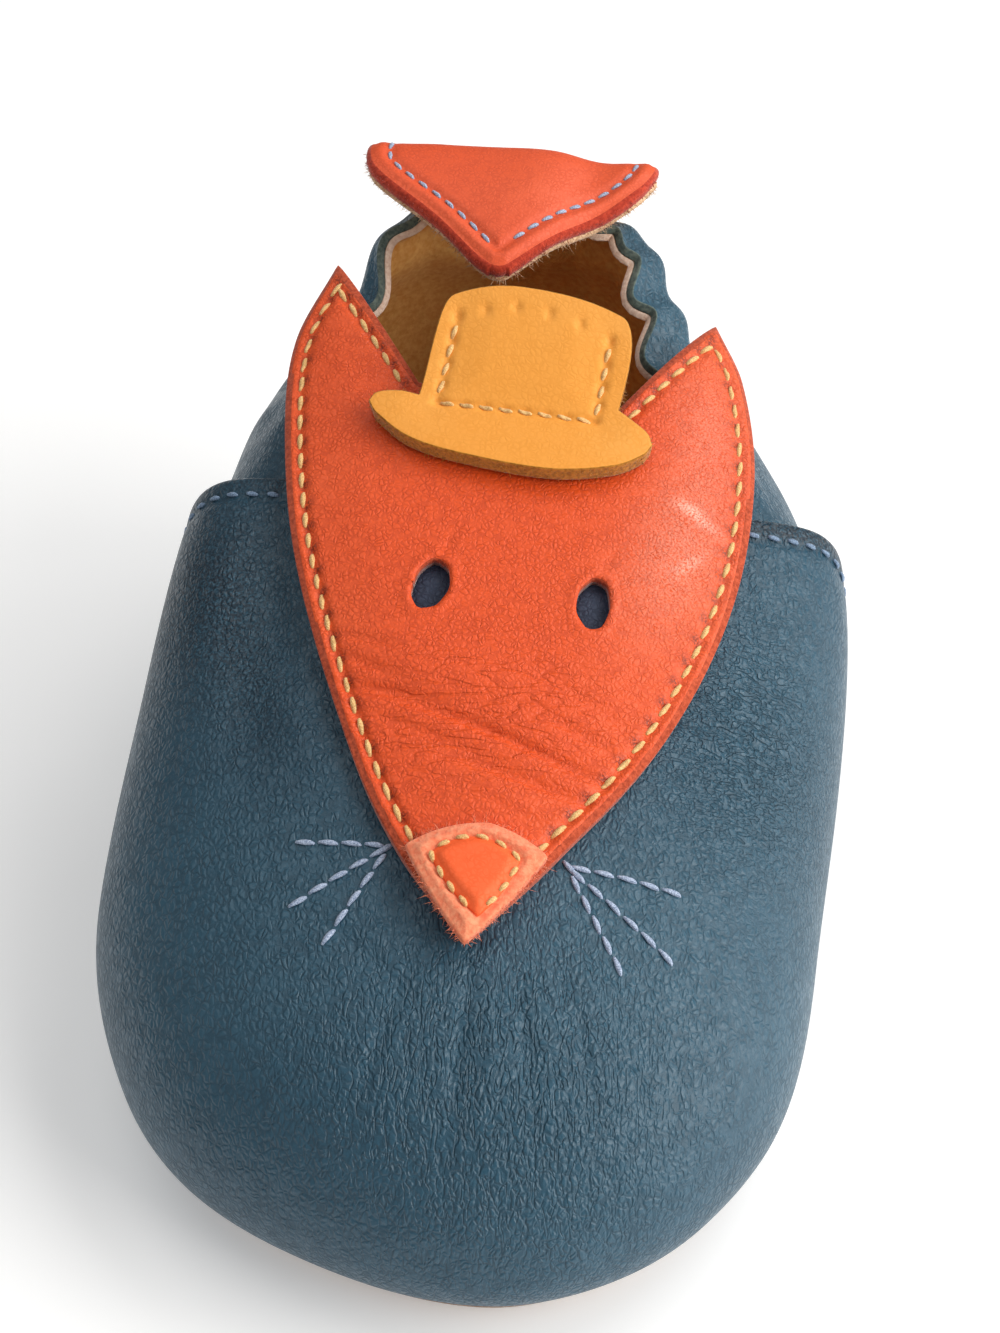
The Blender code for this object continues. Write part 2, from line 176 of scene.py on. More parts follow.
PLAN = smooth_path([(HALF_BALL * share, along) for _, share, along in OUTLINE], PLAN_STEPS, closed=True)
PLAN = np.roll(PLAN, -int(np.argmin(PLAN[:, 1])), axis=0)
HEEL_INDEX = int(np.argmax(PLAN[:, 1]))
INNER_SIDE = PLAN[: HEEL_INDEX + 1]
OUTER_SIDE = np.vstack([PLAN[:1], PLAN[: HEEL_INDEX - 1 : -1]])
CREST_LINE = smooth_path([row[1:] for row in CREST], CREST_STEPS)
PLAN_CENTRE = np.append((PLAN.min(axis=0) + PLAN.max(axis=0)) / 2, 0.0)


def section(along):
    """Middle and half width of the upper at places along the foot."""
    inner = np.interp(along, INNER_SIDE[:, 1], INNER_SIDE[:, 0])
    outer = np.interp(along, OUTER_SIDE[:, 1], OUTER_SIDE[:, 0])
    return (inner + outer) / 2, np.maximum((inner - outer) / 2, 1e-6)


def section_height(across, along, inset=0.0):
    """Height of the last at a share of its half width.

    It is side level + rise * (1 - share^side power)^(1 / top power).
    """
    crest = np.interp(along, CREST_LINE[:, 0], CREST_LINE[:, 1]) - inset
    side = column(SIDES, SIDE_LEVEL, along)
    fullness = (1 - across ** column(SIDES, SIDE_POWER, along)) ** (1 / column(SIDES, TOP_POWER, along))
    return side + np.maximum(crest - side, 0.0) * fullness


def dome(x, y, inset=0.0, widest=1.0):
    """Height of the last over a point of the plan."""
    middle, half = section(y)
    across = np.clip(np.abs(x - middle) / np.maximum(half - inset, 1e-6), 0.0, widest)
    return section_height(across, y, inset)


def floor_lift(along):
    """How far the sole's underside stands off the floor: spring at the toe and a low arch at the waist."""
    spring = TOE_SPRING * (1 - ease(0.0, SPRING_END, along))
    arch = ARCH_RISE * ease(ARCH_START, ARCH_TOP, along) * (1 - ease(ARCH_TOP, ARCH_END, along))
    return spring + arch


def outward(points):
    """Unit plan normals pointing out of the outline at points that run along it anticlockwise."""
    run = np.gradient(points, axis=0)
    normal = np.stack([run[:, 1], -run[:, 0]], axis=1)
    return normal / np.linalg.norm(normal, axis=1)[:, None]


def skirt(points, normals, steps):
    """Rows below the widest level: a quarter ellipse that tucks under to the sole seam, seam first."""
    turn = np.linspace(math.pi / 2, 0.0, steps, endpoint=False)[:, None]
    along = points[:, 1]
    inset = column(SIDES, TUCK, along) * (1 - np.cos(turn))
    side = column(SIDES, SIDE_LEVEL, along)
    seam_level = SEAM_HEIGHT + floor_lift(along)
    plan = points[None] - normals[None] * inset[..., None]
    return np.dstack([plan, side - (side - seam_level) * np.sin(turn)])


print("last:", np.ptp(PLAN, axis=0).round(1), "mm in plan")

# %% [markdown]
# ## Sheets with a cut edge
# Leather is a sheet of even thickness with an edge that was cut or folded. Blender's Solidify modifier gives
# a thickness with a square rim. Here the rim matters, since every edge shows, so the sheet is built whole:
# an upper face, a lower face one thickness below it, and between them a rim whose profile is a half
# superellipse carried along the border, round for a fold and nearly square for a raw cut.

# %% Grids, sheets and pieces
GRAIN_FACE, RIM_FACE, BACK_FACE = 0, 1, 2
WELD = 1e-7


def unit(vectors):
    """Vectors scaled to length one."""
    return vectors / np.maximum(np.linalg.norm(vectors, axis=-1, keepdims=True), 1e-12)


def mirrored_start(grid):
    """A grid folded on itself along its first row, with the row past the fold put before it."""
    return np.concatenate([grid[1:2, ::-1], grid], axis=0)


def grid_normals(grid, folded=False):
    """Unit normals of a grid: cross product of its two directions."""
    if folded:
        grid = mirrored_start(grid)
    normal = np.cross(np.gradient(grid, axis=1), np.gradient(grid, axis=0))
    if folded:
        normal = normal[1:]
        middle = grid.shape[1] // 2
        normal[0, middle] = normal[0, middle - 1] + normal[0, middle + 1]
    return unit(normal)


def smoothed(grid, passes, folded=False):
    """A grid evened out by 1-2-1 averages in both directions, with its border kept."""
    for _ in range(passes):
        wide = mirrored_start(grid) if folded else grid
        inner = (wide[:-2] + 2 * wide[1:-1] + wide[2:]) / 4
        grid = np.concatenate([inner if folded else np.concatenate([grid[:1], inner]), grid[-1:]])
        inner = (grid[:, :-2] + 2 * grid[:, 1:-1] + grid[:, 2:]) / 4
        grid = np.concatenate([grid[:, :1], inner, grid[:, -1:]], axis=1)
    return grid


def border(rows, columns, folded):
    """Indices round a grid's border. A folded first row is closed on itself and has no border."""
    index = np.arange(rows * columns).reshape(rows, columns)
    if folded:
        return np.concatenate([index[:, 0], index[-1, 1:], index[-2::-1, -1]])
    return np.concatenate([index[:, 0], index[-1, 1:], index[-2::-1, -1], index[0, -2:0:-1]])


def hole_walls(kept, index, below):
    """Quads from the upper to the lower face along the edges between kept and dropped cells of a grid."""
    walls = []
    for axis in (0, 1):
        cells = kept if axis == 0 else kept.T
        points = index if axis == 0 else index.T
        ahead = cells[1:] & ~cells[:-1]
        behind = cells[:-1] & ~cells[1:]
        first, second = points[1:-1, :-1], points[1:-1, 1:]
        for mask, start, end in ((ahead, second, first), (behind, first, second)):
            a, b = (start[mask], end[mask]) if axis == 0 else (end[mask], start[mask])
            walls.append(np.stack([a, b, b + below, a + below], axis=1))
    return np.concatenate(walls)


def sheet(grid, thickness, edge, square=1.0, rim_steps=5, folded=False, dropped=None, normal=None):
    """Closed sheet under a grid: the back is one thickness below, and the rim stands out by edge.

    Rim profile at angle a: outwards edge * sin(a)^square, downwards thickness * (1 - cos(a)^square) / 2.
    """
    rows, columns = grid.shape[:2]
    normal = grid_normals(grid, folded) if normal is None else normal
    depth = np.broadcast_to(np.asarray(thickness, float), (rows, columns))
    back = grid - normal * depth[..., None]
    loop = border(rows, columns, folded)
    on_border, facing = grid.reshape(-1, 3)[loop], normal.reshape(-1, 3)[loop]
    if folded:
        ahead = np.concatenate([on_border[1:], on_border[1:2]])
        before = np.concatenate([on_border[-2:-1], on_border[:-1]])
    else:
        ahead, before = np.roll(on_border, -1, axis=0), np.roll(on_border, 1, axis=0)
    aside = unit(np.cross(unit(ahead - before), facing))
    inner_rows = np.clip(loop // columns, 1, rows - 2)
    inner_columns = np.clip(loop % columns, 1, columns - 2)
    away = on_border - grid[inner_rows, inner_columns]
    aside = aside * np.sign(np.sum(away * aside))
    turn = np.linspace(0.0, math.pi, rim_steps + 1)[1:-1, None, None]
    reach = np.sin(turn) ** square
    level = np.sign(np.cos(turn)) * np.abs(np.cos(turn)) ** square
    fall = depth.reshape(-1)[loop][None, :, None] * (1 - level) / 2
    rim = on_border + aside * edge * reach - facing * fall

    count, around = rows * columns, len(loop)
    points = np.concatenate([grid.reshape(-1, 3), rim.reshape(-1, 3), back.reshape(-1, 3)])
    index = np.arange(count).reshape(rows, columns)
    cells = np.stack([index[:-1, :-1], index[:-1, 1:], index[1:, 1:], index[1:, :-1]], axis=-1)
    kept = np.ones(cells.shape[:2], bool) if dropped is None else ~dropped
    cells = cells[kept]
    below = count + around * (rim_steps - 1)
    rings = [loop, *(count + around * k + np.arange(around) for k in range(rim_steps - 1)), loop + below]
    last = -1 if folded else around
    starts, ends = [r[:last] for r in rings], [np.roll(r, -1)[:last] for r in rings]
    strips = [np.stack([starts[k], ends[k], ends[k + 1], starts[k + 1]], axis=1) for k in range(rim_steps)]
    walls = hole_walls(kept, index, below)
    quads = np.concatenate([cells, *strips, walls, cells[:, ::-1] + below])
    rim_count = sum(len(s) for s in strips) + len(walls)
    part = np.repeat([GRAIN_FACE, RIM_FACE, BACK_FACE], [len(cells), rim_count, len(cells)])
    return points, quads, part


def row_metres(points):
    """Across, along and height in millimetres as metres in the frame."""
    return (np.asarray(points, float) - PLAN_CENTRE) * MM


def piece(name, points, quads, finishes, part=None, values=None, stands_for=()):
    """An object from whole arrays, welded where points meet, turned outwards and riding on the shoe."""
    a, b, c, d = (points[quads[:, k]] for k in range(4))
    volume = np.sum(np.cross(b - a, c - a) * a) + np.sum(np.cross(c - a, d - a) * a)
    if volume < 0:
        quads = quads[:, ::-1]
    mesh = bpy.data.meshes.new(name)
    mesh.from_pydata(row_metres(points).tolist(), [], quads.tolist())
    for key, value in (values or {}).items():
        mesh.attributes.new(key, "FLOAT", "POINT").data.foreach_set("value", np.asarray(value, np.float32))
    if part is not None:
        mesh.polygons.foreach_set("material_index", np.asarray(part, np.int32))
    for finish in finishes:
        mesh.materials.append(finish)
    shape = bmesh.new()
    shape.from_mesh(mesh)
    bmesh.ops.remove_doubles(shape, verts=shape.verts, dist=WELD)
    shape.to_mesh(mesh)
    shape.free()
    mesh.shade_smooth()
    made = bpy.data.objects.new(name, mesh)
    bpy.context.scene.collection.objects.link(made)
    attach(made, "root")
    if stands_for:
        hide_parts(*stands_for)
    print(f"{name}: {len(mesh.polygons)} faces")


def cut_piece(name, grid, finishes, slot, stands_for=(), **cut):
    """A sheet under a grid as a piece, with the sheet's sizes passed on. Gives back the sheet's points."""
    points, quads, part = sheet(grid, **cut)
    piece(name, points, quads, finishes, part, stands_for=stands_for)
    return points


print("border of a grid of 4 by 5 points:", len(border(4, 5, False)), "points")

# %% [markdown]
# ## Finishes
# Smooth leather shows a pebbled grain: rounded cells with fine creases between them. A Voronoi texture gives
# such cells, and its distance to the cell's edge is already the height of a pebble. A noise first bends the
# coordinates so that no cell is a neat polygon. The same height drives the bump, darkens the creases a little
# and makes the tops shinier, as rubbed leather is. Photographed textures would be quicker, but they would
# stop at their own sharpness and slide over the curved pieces.

# %% Nodes
SHEEN_ROUGHNESS = 0.4
SWAY_SCALE = 0.7


def node(tree, kind, inputs=None, **settings):
    """A shader node with its settings, and with its sockets set to values or linked to other sockets."""
    made = tree.nodes.new(kind)
    for key, value in settings.items():
        setattr(made, key, value)
    for key, value in (inputs or {}).items():
        if isinstance(value, bpy.types.NodeSocket):
            tree.links.new(value, made.inputs[key])
        else:
            made.inputs[key].default_value = value
    return made


def maths(tree, operation, *terms):
    """What a Math node makes of its terms."""
    return node(tree, "ShaderNodeMath", dict(enumerate(terms)), operation=operation).outputs[0]


def sums(tree, first, *terms):
    """A socket plus further sockets, each times its weight."""
    total = first
    for socket, weight in terms:
        total = maths(tree, "MULTIPLY_ADD", socket, weight, total)
    return total


def spread(tree, socket, low, high, out_low=0.0, out_high=1.0):
    """A socket's range from low to high, smoothly turned into another range."""
    inputs = {"Value": socket, "From Min": low, "From Max": high, "To Min": out_low, "To Max": out_high}
    return node(tree, "ShaderNodeMapRange", inputs, interpolation_type="SMOOTHSTEP").outputs[0]


def srgb(red, green, blue):
    """A colour as seen on a screen, 0 to 255, as linear light."""
    share = np.array([red, green, blue]) / 255
    linear = np.where(share <= 0.04045, share / 12.92, ((share + 0.055) / 1.055) ** 2.4)
    return (*linear.tolist(), 1.0)


def mixed(tree, share, first, second):
    """One colour going over into another. Each is a socket, or a colour as seen on a screen."""
    first, second = (c if isinstance(c, bpy.types.NodeSocket) else srgb(*c) for c in (first, second))
    return node(tree, "ShaderNodeMix", {0: share, 6: first, 7: second}, data_type="RGBA").outputs[2]


def noise(tree, place, detail, roughness=0.5):
    """The grey of a Noise texture with one cell to each unit of its place."""
    inputs = {"Vector": place, "Scale": 1.0, "Detail": detail, "Roughness": roughness}
    return node(tree, "ShaderNodeTexNoise", inputs).outputs[0]


def painted(tree, key):
    """A value that the piece keeps on its own points."""
    return node(tree, "ShaderNodeAttribute", attribute_name=key).outputs["Fac"]


def new_finish(name, roughness, sheen=0.0):
    """A material with its shader's constant values set on the shader itself."""
    material = bpy.data.materials.new(name)
    material.use_nodes = True
    shader = material.node_tree.nodes["Principled BSDF"]
    shader.inputs["Roughness"].default_value = roughness
    shader.inputs["Sheen Weight"].default_value = sheen
    shader.inputs["Sheen Roughness"].default_value = SHEEN_ROUGHNESS
    return material, material.node_tree, shader


def bent_place(tree, per_mm, bend=0.0, stretch=(1.0, 1.0, 1.0)):
    """Object coordinates counted in cells, stretched and, where asked, bent by a noise."""
    place = node(tree, "ShaderNodeTexCoord").outputs["Object"]
    scale = tuple(per_mm / MM * s for s in stretch)
    cells = node(tree, "ShaderNodeMapping", {"Vector": place, "Scale": scale}).outputs[0]
    if not bend:
        return cells
    sway = node(tree, "ShaderNodeTexNoise", {"Vector": cells, "Scale": SWAY_SCALE, "Detail": 1.0}).outputs[1]
    shift = node(tree, "ShaderNodeVectorMath", {0: sway, 1: (bend,) * 3}, operation="MULTIPLY").outputs[0]
    return node(tree, "ShaderNodeVectorMath", {0: cells, 1: shift}, operation="ADD").outputs[0]


def raise_grain(tree, shader, height, depth, strength=1.0):
    """Bends the shader's normals by a height that is counted in depths of so many mm."""
    bump = node(tree, "ShaderNodeBump", {"Height": height, "Distance": depth * MM, "Strength": strength})
    tree.links.new(bump.outputs[0], shader.inputs["Normal"])


print("a screen's middle grey in linear light:", round(srgb(128, 128, 128)[0], 3))

# %% Leather
LEATHER_SHINE = 0.42
CELL_BEND = 1.3
PORES_PER_PEBBLE, SWELLS_PER_PEBBLE, PATCHES_PER_MM = 2.6, 0.4, 0.035
DOME_WIDTH, FOLD_WIDTH = 0.32, 0.1
LEAST_OPEN = 0.55
PEBBLE_WEIGHT, PORE_WEIGHT = 0.6, 0.3
CREASE_TINT = 0.35
DULL_CREASES, SHINY_TOPS, UNEVEN_GLOSS = 0.1, 0.04, 0.06


def leather(
    name, colour, crease, bloom, pebble, depth, roughness, stretch=(1.0, 1.0, 1.0), creased=(), marked=()
):
    """Pebbled leather: colour on the pebbles, crease colour between them, bloom where it is rubbed pale.

    Its height is swells + weight * pebbles + weight * pores. Each creased row adds folds where a noise passes
    its middle value, held by a value on the piece, and each marked row another colour in the same way.
    """
    material, tree, shader = new_finish(name, roughness)
    shader.inputs["Specular IOR Level"].default_value = LEATHER_SHINE
    place = bent_place(tree, 1 / pebble, CELL_BEND, stretch)
    cells = node(tree, "ShaderNodeTexVoronoi", {"Vector": place, "Scale": 1.0}, feature="DISTANCE_TO_EDGE")
    pores = noise(tree, bent_place(tree, PORES_PER_PEBBLE / pebble), 2.0)
    swells = noise(tree, bent_place(tree, SWELLS_PER_PEBBLE / pebble), 2.0)
    domes = spread(tree, cells.outputs["Distance"], 0.0, DOME_WIDTH)
    opened = spread(tree, swells, 0.3, 0.65, LEAST_OPEN, 1.0)
    pebbles = maths(tree, "MULTIPLY_ADD", maths(tree, "ADD", domes, -1.0), opened, 1.0)
    height = sums(tree, swells, (pebbles, PEBBLE_WEIGHT), (pores, PORE_WEIGHT))
    for key, pull, cell, weight in creased:
        lines = noise(tree, bent_place(tree, 1 / cell, CELL_BEND, pull), 1.0)
        beside_line = maths(tree, "ABSOLUTE", maths(tree, "SUBTRACT", lines, 0.5))
        folds = spread(tree, beside_line, 0.0, FOLD_WIDTH)
        height = sums(tree, height, (maths(tree, "MULTIPLY", folds, painted(tree, key)), weight))
    raise_grain(tree, shader, height, depth)
    patchy = noise(tree, bent_place(tree, PATCHES_PER_MM), 3.0)
    base = mixed(tree, spread(tree, patchy, 0.35, 0.75), colour, bloom)
    base = mixed(tree, spread(tree, pebbles, 0.0, 0.7, CREASE_TINT, 0.0), base, crease)
    # The marks are broken up by the pores. The vamp's dark mark and the face's dark needle-hole mark are
    # painted shade.
    rubbed = spread(tree, pores, 0.3, 0.6)
    for key, mark in marked:
        base = mixed(tree, maths(tree, "MULTIPLY", painted(tree, key), rubbed), base, mark)
    tree.links.new(base, shader.inputs["Base Color"])
    gloss = spread(tree, pebbles, 0.0, 1.0, roughness + DULL_CREASES, roughness - SHINY_TOPS)
    tree.links.new(sums(tree, gloss, (swells, UNEVEN_GLOSS)), shader.inputs["Roughness"])
    return material


# Creased rows: value on the piece, stretch, cell in mm, weight. Marked rows: value on the piece, colour
UPPER_LEATHER = leather(
    "upper_grain", (42, 78, 97), (22, 44, 58), (52, 88, 107), 0.62, 0.14, 0.33, (1.0, 0.7, 0.85),
    creased=(("toe_creases", (1.0, 0.28, 0.5), 0.68, 1.0), ("side_creases", (0.45, 1.0, 0.8), 0.55, 1.3)),
    # The vamp's mark is painted shade along the throat fold and in the hollow beside the face
    marked=(("painted_vamp_shade", (8, 24, 38)),),
)
FACE_LEATHER = leather(
    "face_grain", (230, 82, 25), (170, 49, 16), (236, 94, 40), 0.54, 0.085, 0.46,
    creased=(("face_creases", (0.3, 1.0, 0.6), 1.2, 1.3),),
    # The dark brown mark at each needle hole is painted shade in the hole
    marked=(("face_scuffs", (255, 186, 164)), ("face_needle_hole_shade", (112, 36, 14))),
)
TAB_LEATHER = leather("tab_grain", (224, 84, 40), (184, 60, 26), (232, 98, 56), 0.5, 0.03, 0.46)
HAT_LEATHER = leather("hat_grain", (240, 158, 58), (226, 144, 48), (244, 172, 82), 0.6, 0.025, 0.62)
NOSE_LEATHER = leather("nose_grain", (252, 100, 44), (236, 84, 30), (255, 118, 64), 0.5, 0.02, 0.6)
# The eye ground's dark navy is painted shade for the inside of the eye holes
EYE_SHADE_LEATHER = leather("eye_shade_grain", (40, 52, 74), (16, 22, 34), (58, 70, 92), 0.6, 0.1, 0.6)
print("leathers:", len(bpy.data.materials))

# %% [markdown]
# Suede, felt and raw cut edges have no grain, only a nap of short fibres that catch the light. A fine noise
# looks like brushed nap, and the shader's sheen gives the pale bloom at grazing angles. Real hair strands
# would be heavy on every edge, so they are kept for the places where the fuzz shows.

# %% Suede and thread
SUEDE_ROUGHNESS, SUEDE_SHINE, NAP_BEND = 0.92, 0.2, 0.5
NAP_SHARE, PATCH_SHARE, NAP_PATCHES_PER_MM = 0.65, 0.35, 0.12
THREAD_ROUGHNESS, THREAD_SHEEN = 0.6, 0.25
THREAD_FIBRE, THREAD_DEPTH, THREAD_BUMP = 0.12, 0.05, 0.8


def suede(name, colour, dark, nap, depth, sheen=0.35):
    """Napped leather: fine noise between two colours, with a soft bump and sheen."""
    material, tree, shader = new_finish(name, SUEDE_ROUGHNESS, sheen)
    shader.inputs["Specular IOR Level"].default_value = SUEDE_SHINE
    fibres = noise(tree, bent_place(tree, 1 / nap, NAP_BEND), 4.0, roughness=0.6)
    patchy = noise(tree, bent_place(tree, NAP_PATCHES_PER_MM), 3.0)
    share = sums(tree, spread(tree, fibres, 0.3, 0.7, 0.0, NAP_SHARE), (patchy, PATCH_SHARE))
    tree.links.new(mixed(tree, share, dark, colour), shader.inputs["Base Color"])
    raise_grain(tree, shader, fibres, depth)
    return material


def thread(name, colour, dark):
    """Twisted thread: fine fibres between two colours."""
    material, tree, shader = new_finish(name, THREAD_ROUGHNESS, THREAD_SHEEN)
    fibres = noise(tree, bent_place(tree, 1 / THREAD_FIBRE), 3.0)
    tree.links.new(mixed(tree, spread(tree, fibres, 0.3, 0.7), dark, colour), shader.inputs["Base Color"])
    raise_grain(tree, shader, fibres, THREAD_DEPTH, THREAD_BUMP)
    return material


UPPER_EDGE = suede("upper_cut_edge", (120, 132, 122), (52, 70, 70), 0.5, 0.12)
FACE_EDGE = suede("face_cut_edge", (214, 96, 62), (140, 50, 26), 0.4, 0.1)
TAB_EDGE = suede("tab_cut_edge", (206, 74, 48), (140, 36, 22), 0.4, 0.12)
HAT_EDGE = suede("hat_cut_edge", (206, 142, 52), (132, 84, 22), 0.4, 0.12)
NOSE_SUEDE = suede("nose_nap", (255, 166, 126), (244, 116, 80), 0.5, 0.15, sheen=0.3)
LINING_SUEDE = suede("lining_nap", (255, 204, 122), (230, 156, 78), 0.7, 0.12, sheen=0.1)
LINING_EDGE = suede("lining_cut_edge", (255, 232, 214), (220, 182, 156), 0.4, 0.12)
TAB_FELT = suede("tab_felt_nap", (238, 206, 168), (204, 158, 116), 0.5, 0.15)
SOLE_SUEDE = suede("sole_nap", (150, 112, 74), (110, 78, 50), 0.6, 0.12)
LINING_FINISHES = [LINING_SUEDE, LINING_EDGE, LINING_SUEDE]
FACE_THREAD = thread("face_thread", (246, 208, 140), (206, 150, 84))
BLUE_THREAD = thread("blue_thread", (192, 206, 228), (108, 126, 158))
DARK_THREAD = thread("throat_thread", (140, 164, 192), (74, 98, 126))
print("finishes:", len(bpy.data.materials))

# %% [markdown]
# ## Vamp
# The vamp is one piece of leather from the toe to the throat. A grid of sections from toe to throat would
# pinch at the toe tip, right in view. Here each row starts at the seam, climbs over the side, meets a spine
# under the nose patch and goes down the other side, so the rows fan out round the toe and the pole is hidden.
# Long soft creases are listed as troughs and ridges. The throat edge is folded, so the leather is
# double there and its rim is round.

# %% Vamp surface
THROAT_AT, THROAT_SLANT = 68.8, -0.09
THROAT_SWEEP, THROAT_HALF = 4.5, 33.0
THROAT_INSET, THROAT_GROOVE, GROOVE_WIDTH = 1.9, 0.3, 0.6
SPINE_ACROSS, SPINE_END, SPINE_POWER = -1.0, 26.0, 1.5
VAMP_ROWS, VAMP_HALF_COLUMNS = 190, 93
PROFILE_STEPS, PROFILE_POWER, VAMP_SKIRT = 260, 5, 24
EDGE_SHARE = 0.97
VAMP_PASSES = 10
CALM_BELOW, CREASED_ABOVE = 4.0, 14.0

# Soft creases: place, across, along, heading in degrees from across, half length, half width, depth
VAMP_CREASES = (
    ("outer hollow", -21.0, 60.0, 92, 13.0, 3.2, 0.75),
    ("outer ridge", -27.8, 60.0, 92, 12.0, 3.0, -0.45),
    ("outer dip", -23.6, 48.5, 100, 8.0, 2.2, 0.35),
    ("outer swell", -17.6, 44.5, 115, 7.0, 2.0, -0.25),
    ("inner wrinkle", 19.5, 49.5, 8, 5.0, 0.7, 0.22),
    ("inner wrinkle", 22.0, 46.8, -4, 5.5, 0.7, 0.25),
    ("inner wrinkle", 20.0, 44.0, 6, 5.5, 0.7, 0.22),
    ("inner wrinkle", 22.5, 52.6, 2, 5.0, 0.7, 0.2),
    ("inner wrinkle", 16.5, 40.6, -6, 4.5, 0.7, 0.2),
    ("outer nose line", -11.0, 22.0, -42, 8.0, 0.6, 0.2),
    ("outer toe line", -8.5, 14.5, 70, 6.0, 0.7, 0.22),
    ("middle toe line", -2.0, 13.0, 84, 7.0, 0.7, 0.25),
    ("middle toe ridge", 0.6, 12.0, 88, 7.0, 0.9, -0.16),
    ("inner toe line", 3.6, 14.0, 98, 6.5, 0.7, 0.22),
    ("inner toe line", 8.2, 15.0, 106, 6.0, 0.7, 0.2),
    ("toe cross line", 2.0, 17.8, 20, 5.0, 0.6, 0.12),
    ("inner cheek line", 12.5, 27.0, 50, 4.5, 0.7, 0.16),
)


def crease_field(table, x, y):
    """Sum of soft troughs: each is -depth * exp(-(run / half length)^2 - (side / half width)^2)."""
    total = np.zeros(np.broadcast(x, y).shape)
    for _, across, along, heading, length, width, depth in table:
        c, s = math.cos(math.radians(heading)), math.sin(math.radians(heading))
        run = (x - across) * c + (y - along) * s
        side = (y - along) * c - (x - across) * s
        total -= depth * np.exp(-((run / length) ** 2) - (side / width) ** 2)
    return total


def throat_bend(across):
    """How far the throat edge lies behind its middle: a slant, and corners that sweep back."""
    return THROAT_SLANT * across + THROAT_SWEEP * (across / THROAT_HALF) ** 4


def vamp_half(side, direction):
    """Profiles of one side from the seam to the spine, each resampled to even steps.

    Close to the edge, past EDGE_SHARE, the share of the half width runs straight to 1, so the side is smooth.
    """
    bend = throat_bend(side[:, 0]) / THROAT_AT**2
    level = 2 * side[:, 1] / (1 + np.sqrt(1 + 4 * bend * side[:, 1]))
    run = np.column_stack([side[:, 0], level, side[:, 1]])
    arc = arc_length(side)
    places = np.linspace(0.0, np.interp(THROAT_AT, level, arc), VAMP_ROWS)
    edge = np.stack([np.interp(places, arc, run[:, k]) for k in range(3)], axis=1)
    share = np.linspace(0.0, 1.0, VAMP_ROWS)
    spine = SPINE_END + (THROAT_AT - SPINE_END) * share**SPINE_POWER
    part = 1 - np.linspace(0.0, 1.0, PROFILE_STEPS)[None] ** PROFILE_POWER
    x = SPINE_ACROSS + (edge[:, :1] - SPINE_ACROSS) * part
    flat = spine[:, None] + (edge[:, 1:2] - spine[:, None]) * part
    y = flat + (flat / THROAT_AT) ** 2 * throat_bend(x)
    middle, half = section(y)
    across = np.clip(np.abs(x - middle) / half, 0.0, 1.0)
    near = np.argmax(part[0] < EDGE_SHARE)
    slope = (1 - across[:, near : near + 1]) / (1 - part[:, near : near + 1])
    across[:, :near] = 1 - slope * (1 - part[:, :near])
    top = np.dstack([x, y, section_height(across, y)])
    normal = outward(edge[:, [0, 2]]) * direction
    low = skirt(edge[:, [0, 2]], normal, VAMP_SKIRT).transpose(1, 0, 2)
    profiles = np.concatenate([low, top], axis=1)
    return np.stack([even(profile, VAMP_HALF_COLUMNS) for profile in profiles])


vamp_grid = np.concatenate([vamp_half(OUTER_SIDE, -1), vamp_half(INNER_SIDE, 1)[:, -2::-1]], axis=1)
vamp_grid[0, VAMP_HALF_COLUMNS:] = vamp_grid[0, VAMP_HALF_COLUMNS - 2 :: -1]
vamp_grid = smoothed(vamp_grid, VAMP_PASSES, folded=True)
vamp_normal = grid_normals(vamp_grid, folded=True)
above_seam = ease(CALM_BELOW, CREASED_ABOVE, vamp_grid[..., 2])
from_throat = np.linalg.norm(np.diff(vamp_grid, axis=0), axis=2)[::-1].cumsum(axis=0)[::-1]
from_throat = np.concatenate([from_throat, np.zeros((1, vamp_grid.shape[1]))])
relief = crease_field(VAMP_CREASES, vamp_grid[..., 0], vamp_grid[..., 1]) * above_seam
relief -= THROAT_GROOVE * np.exp(-(((from_throat - THROAT_INSET) / GROOVE_WIDTH) ** 2))
vamp_grid = vamp_grid + vamp_normal * relief[..., None]
vamp_normal = grid_normals(vamp_grid, folded=True)
print("vamp normals point up:", bool(vamp_normal[VAMP_ROWS // 2, VAMP_HALF_COLUMNS, 2] > 0))

# %% Vamp leather and its lining
LEATHER, LINING, LINING_GAP = 1.0, 0.6, 0.06
HEM_WIDTH, HEM_FADE, HEM_EXTRA = 6.0, 1.0, 0.8
LINING_SHORT_ROWS = 12
# Painted shade along the folded throat edge: width in mm, strength on the inner and the outer side
FOLD_SHADE_WIDTH, INNER_FOLD_SHADE, OUTER_FOLD_SHADE = 1.5, 0.95, 0.7

# Patches of fine creases: across, along, half width, half length
TOE_PATCH = (1.0, 12.0, 15.0, 13.0)
SIDE_PATCH = (25.0, 46.0, 9.0, 12.0)

# Painted shade, darker in the hollow beside the face: place, across, along, heading in degrees from across,
# half length, half width, share
HOLLOW_PAINTED_SHADE = (
    ("upper hollow", -28.0, 62.0, 100, 13.0, 9.0, 0.85),
    ("lower hollow", -21.0, 47.0, 112, 10.0, 5.0, 0.5),
)


def patch(x, y, across, along, half_width, half_length):
    """A round patch that fades out: exp(-(x / half width)^2 - (y / half length)^2) from its middle."""
    return np.exp(-(((x - across) / half_width) ** 2) - ((y - along) / half_length) ** 2)


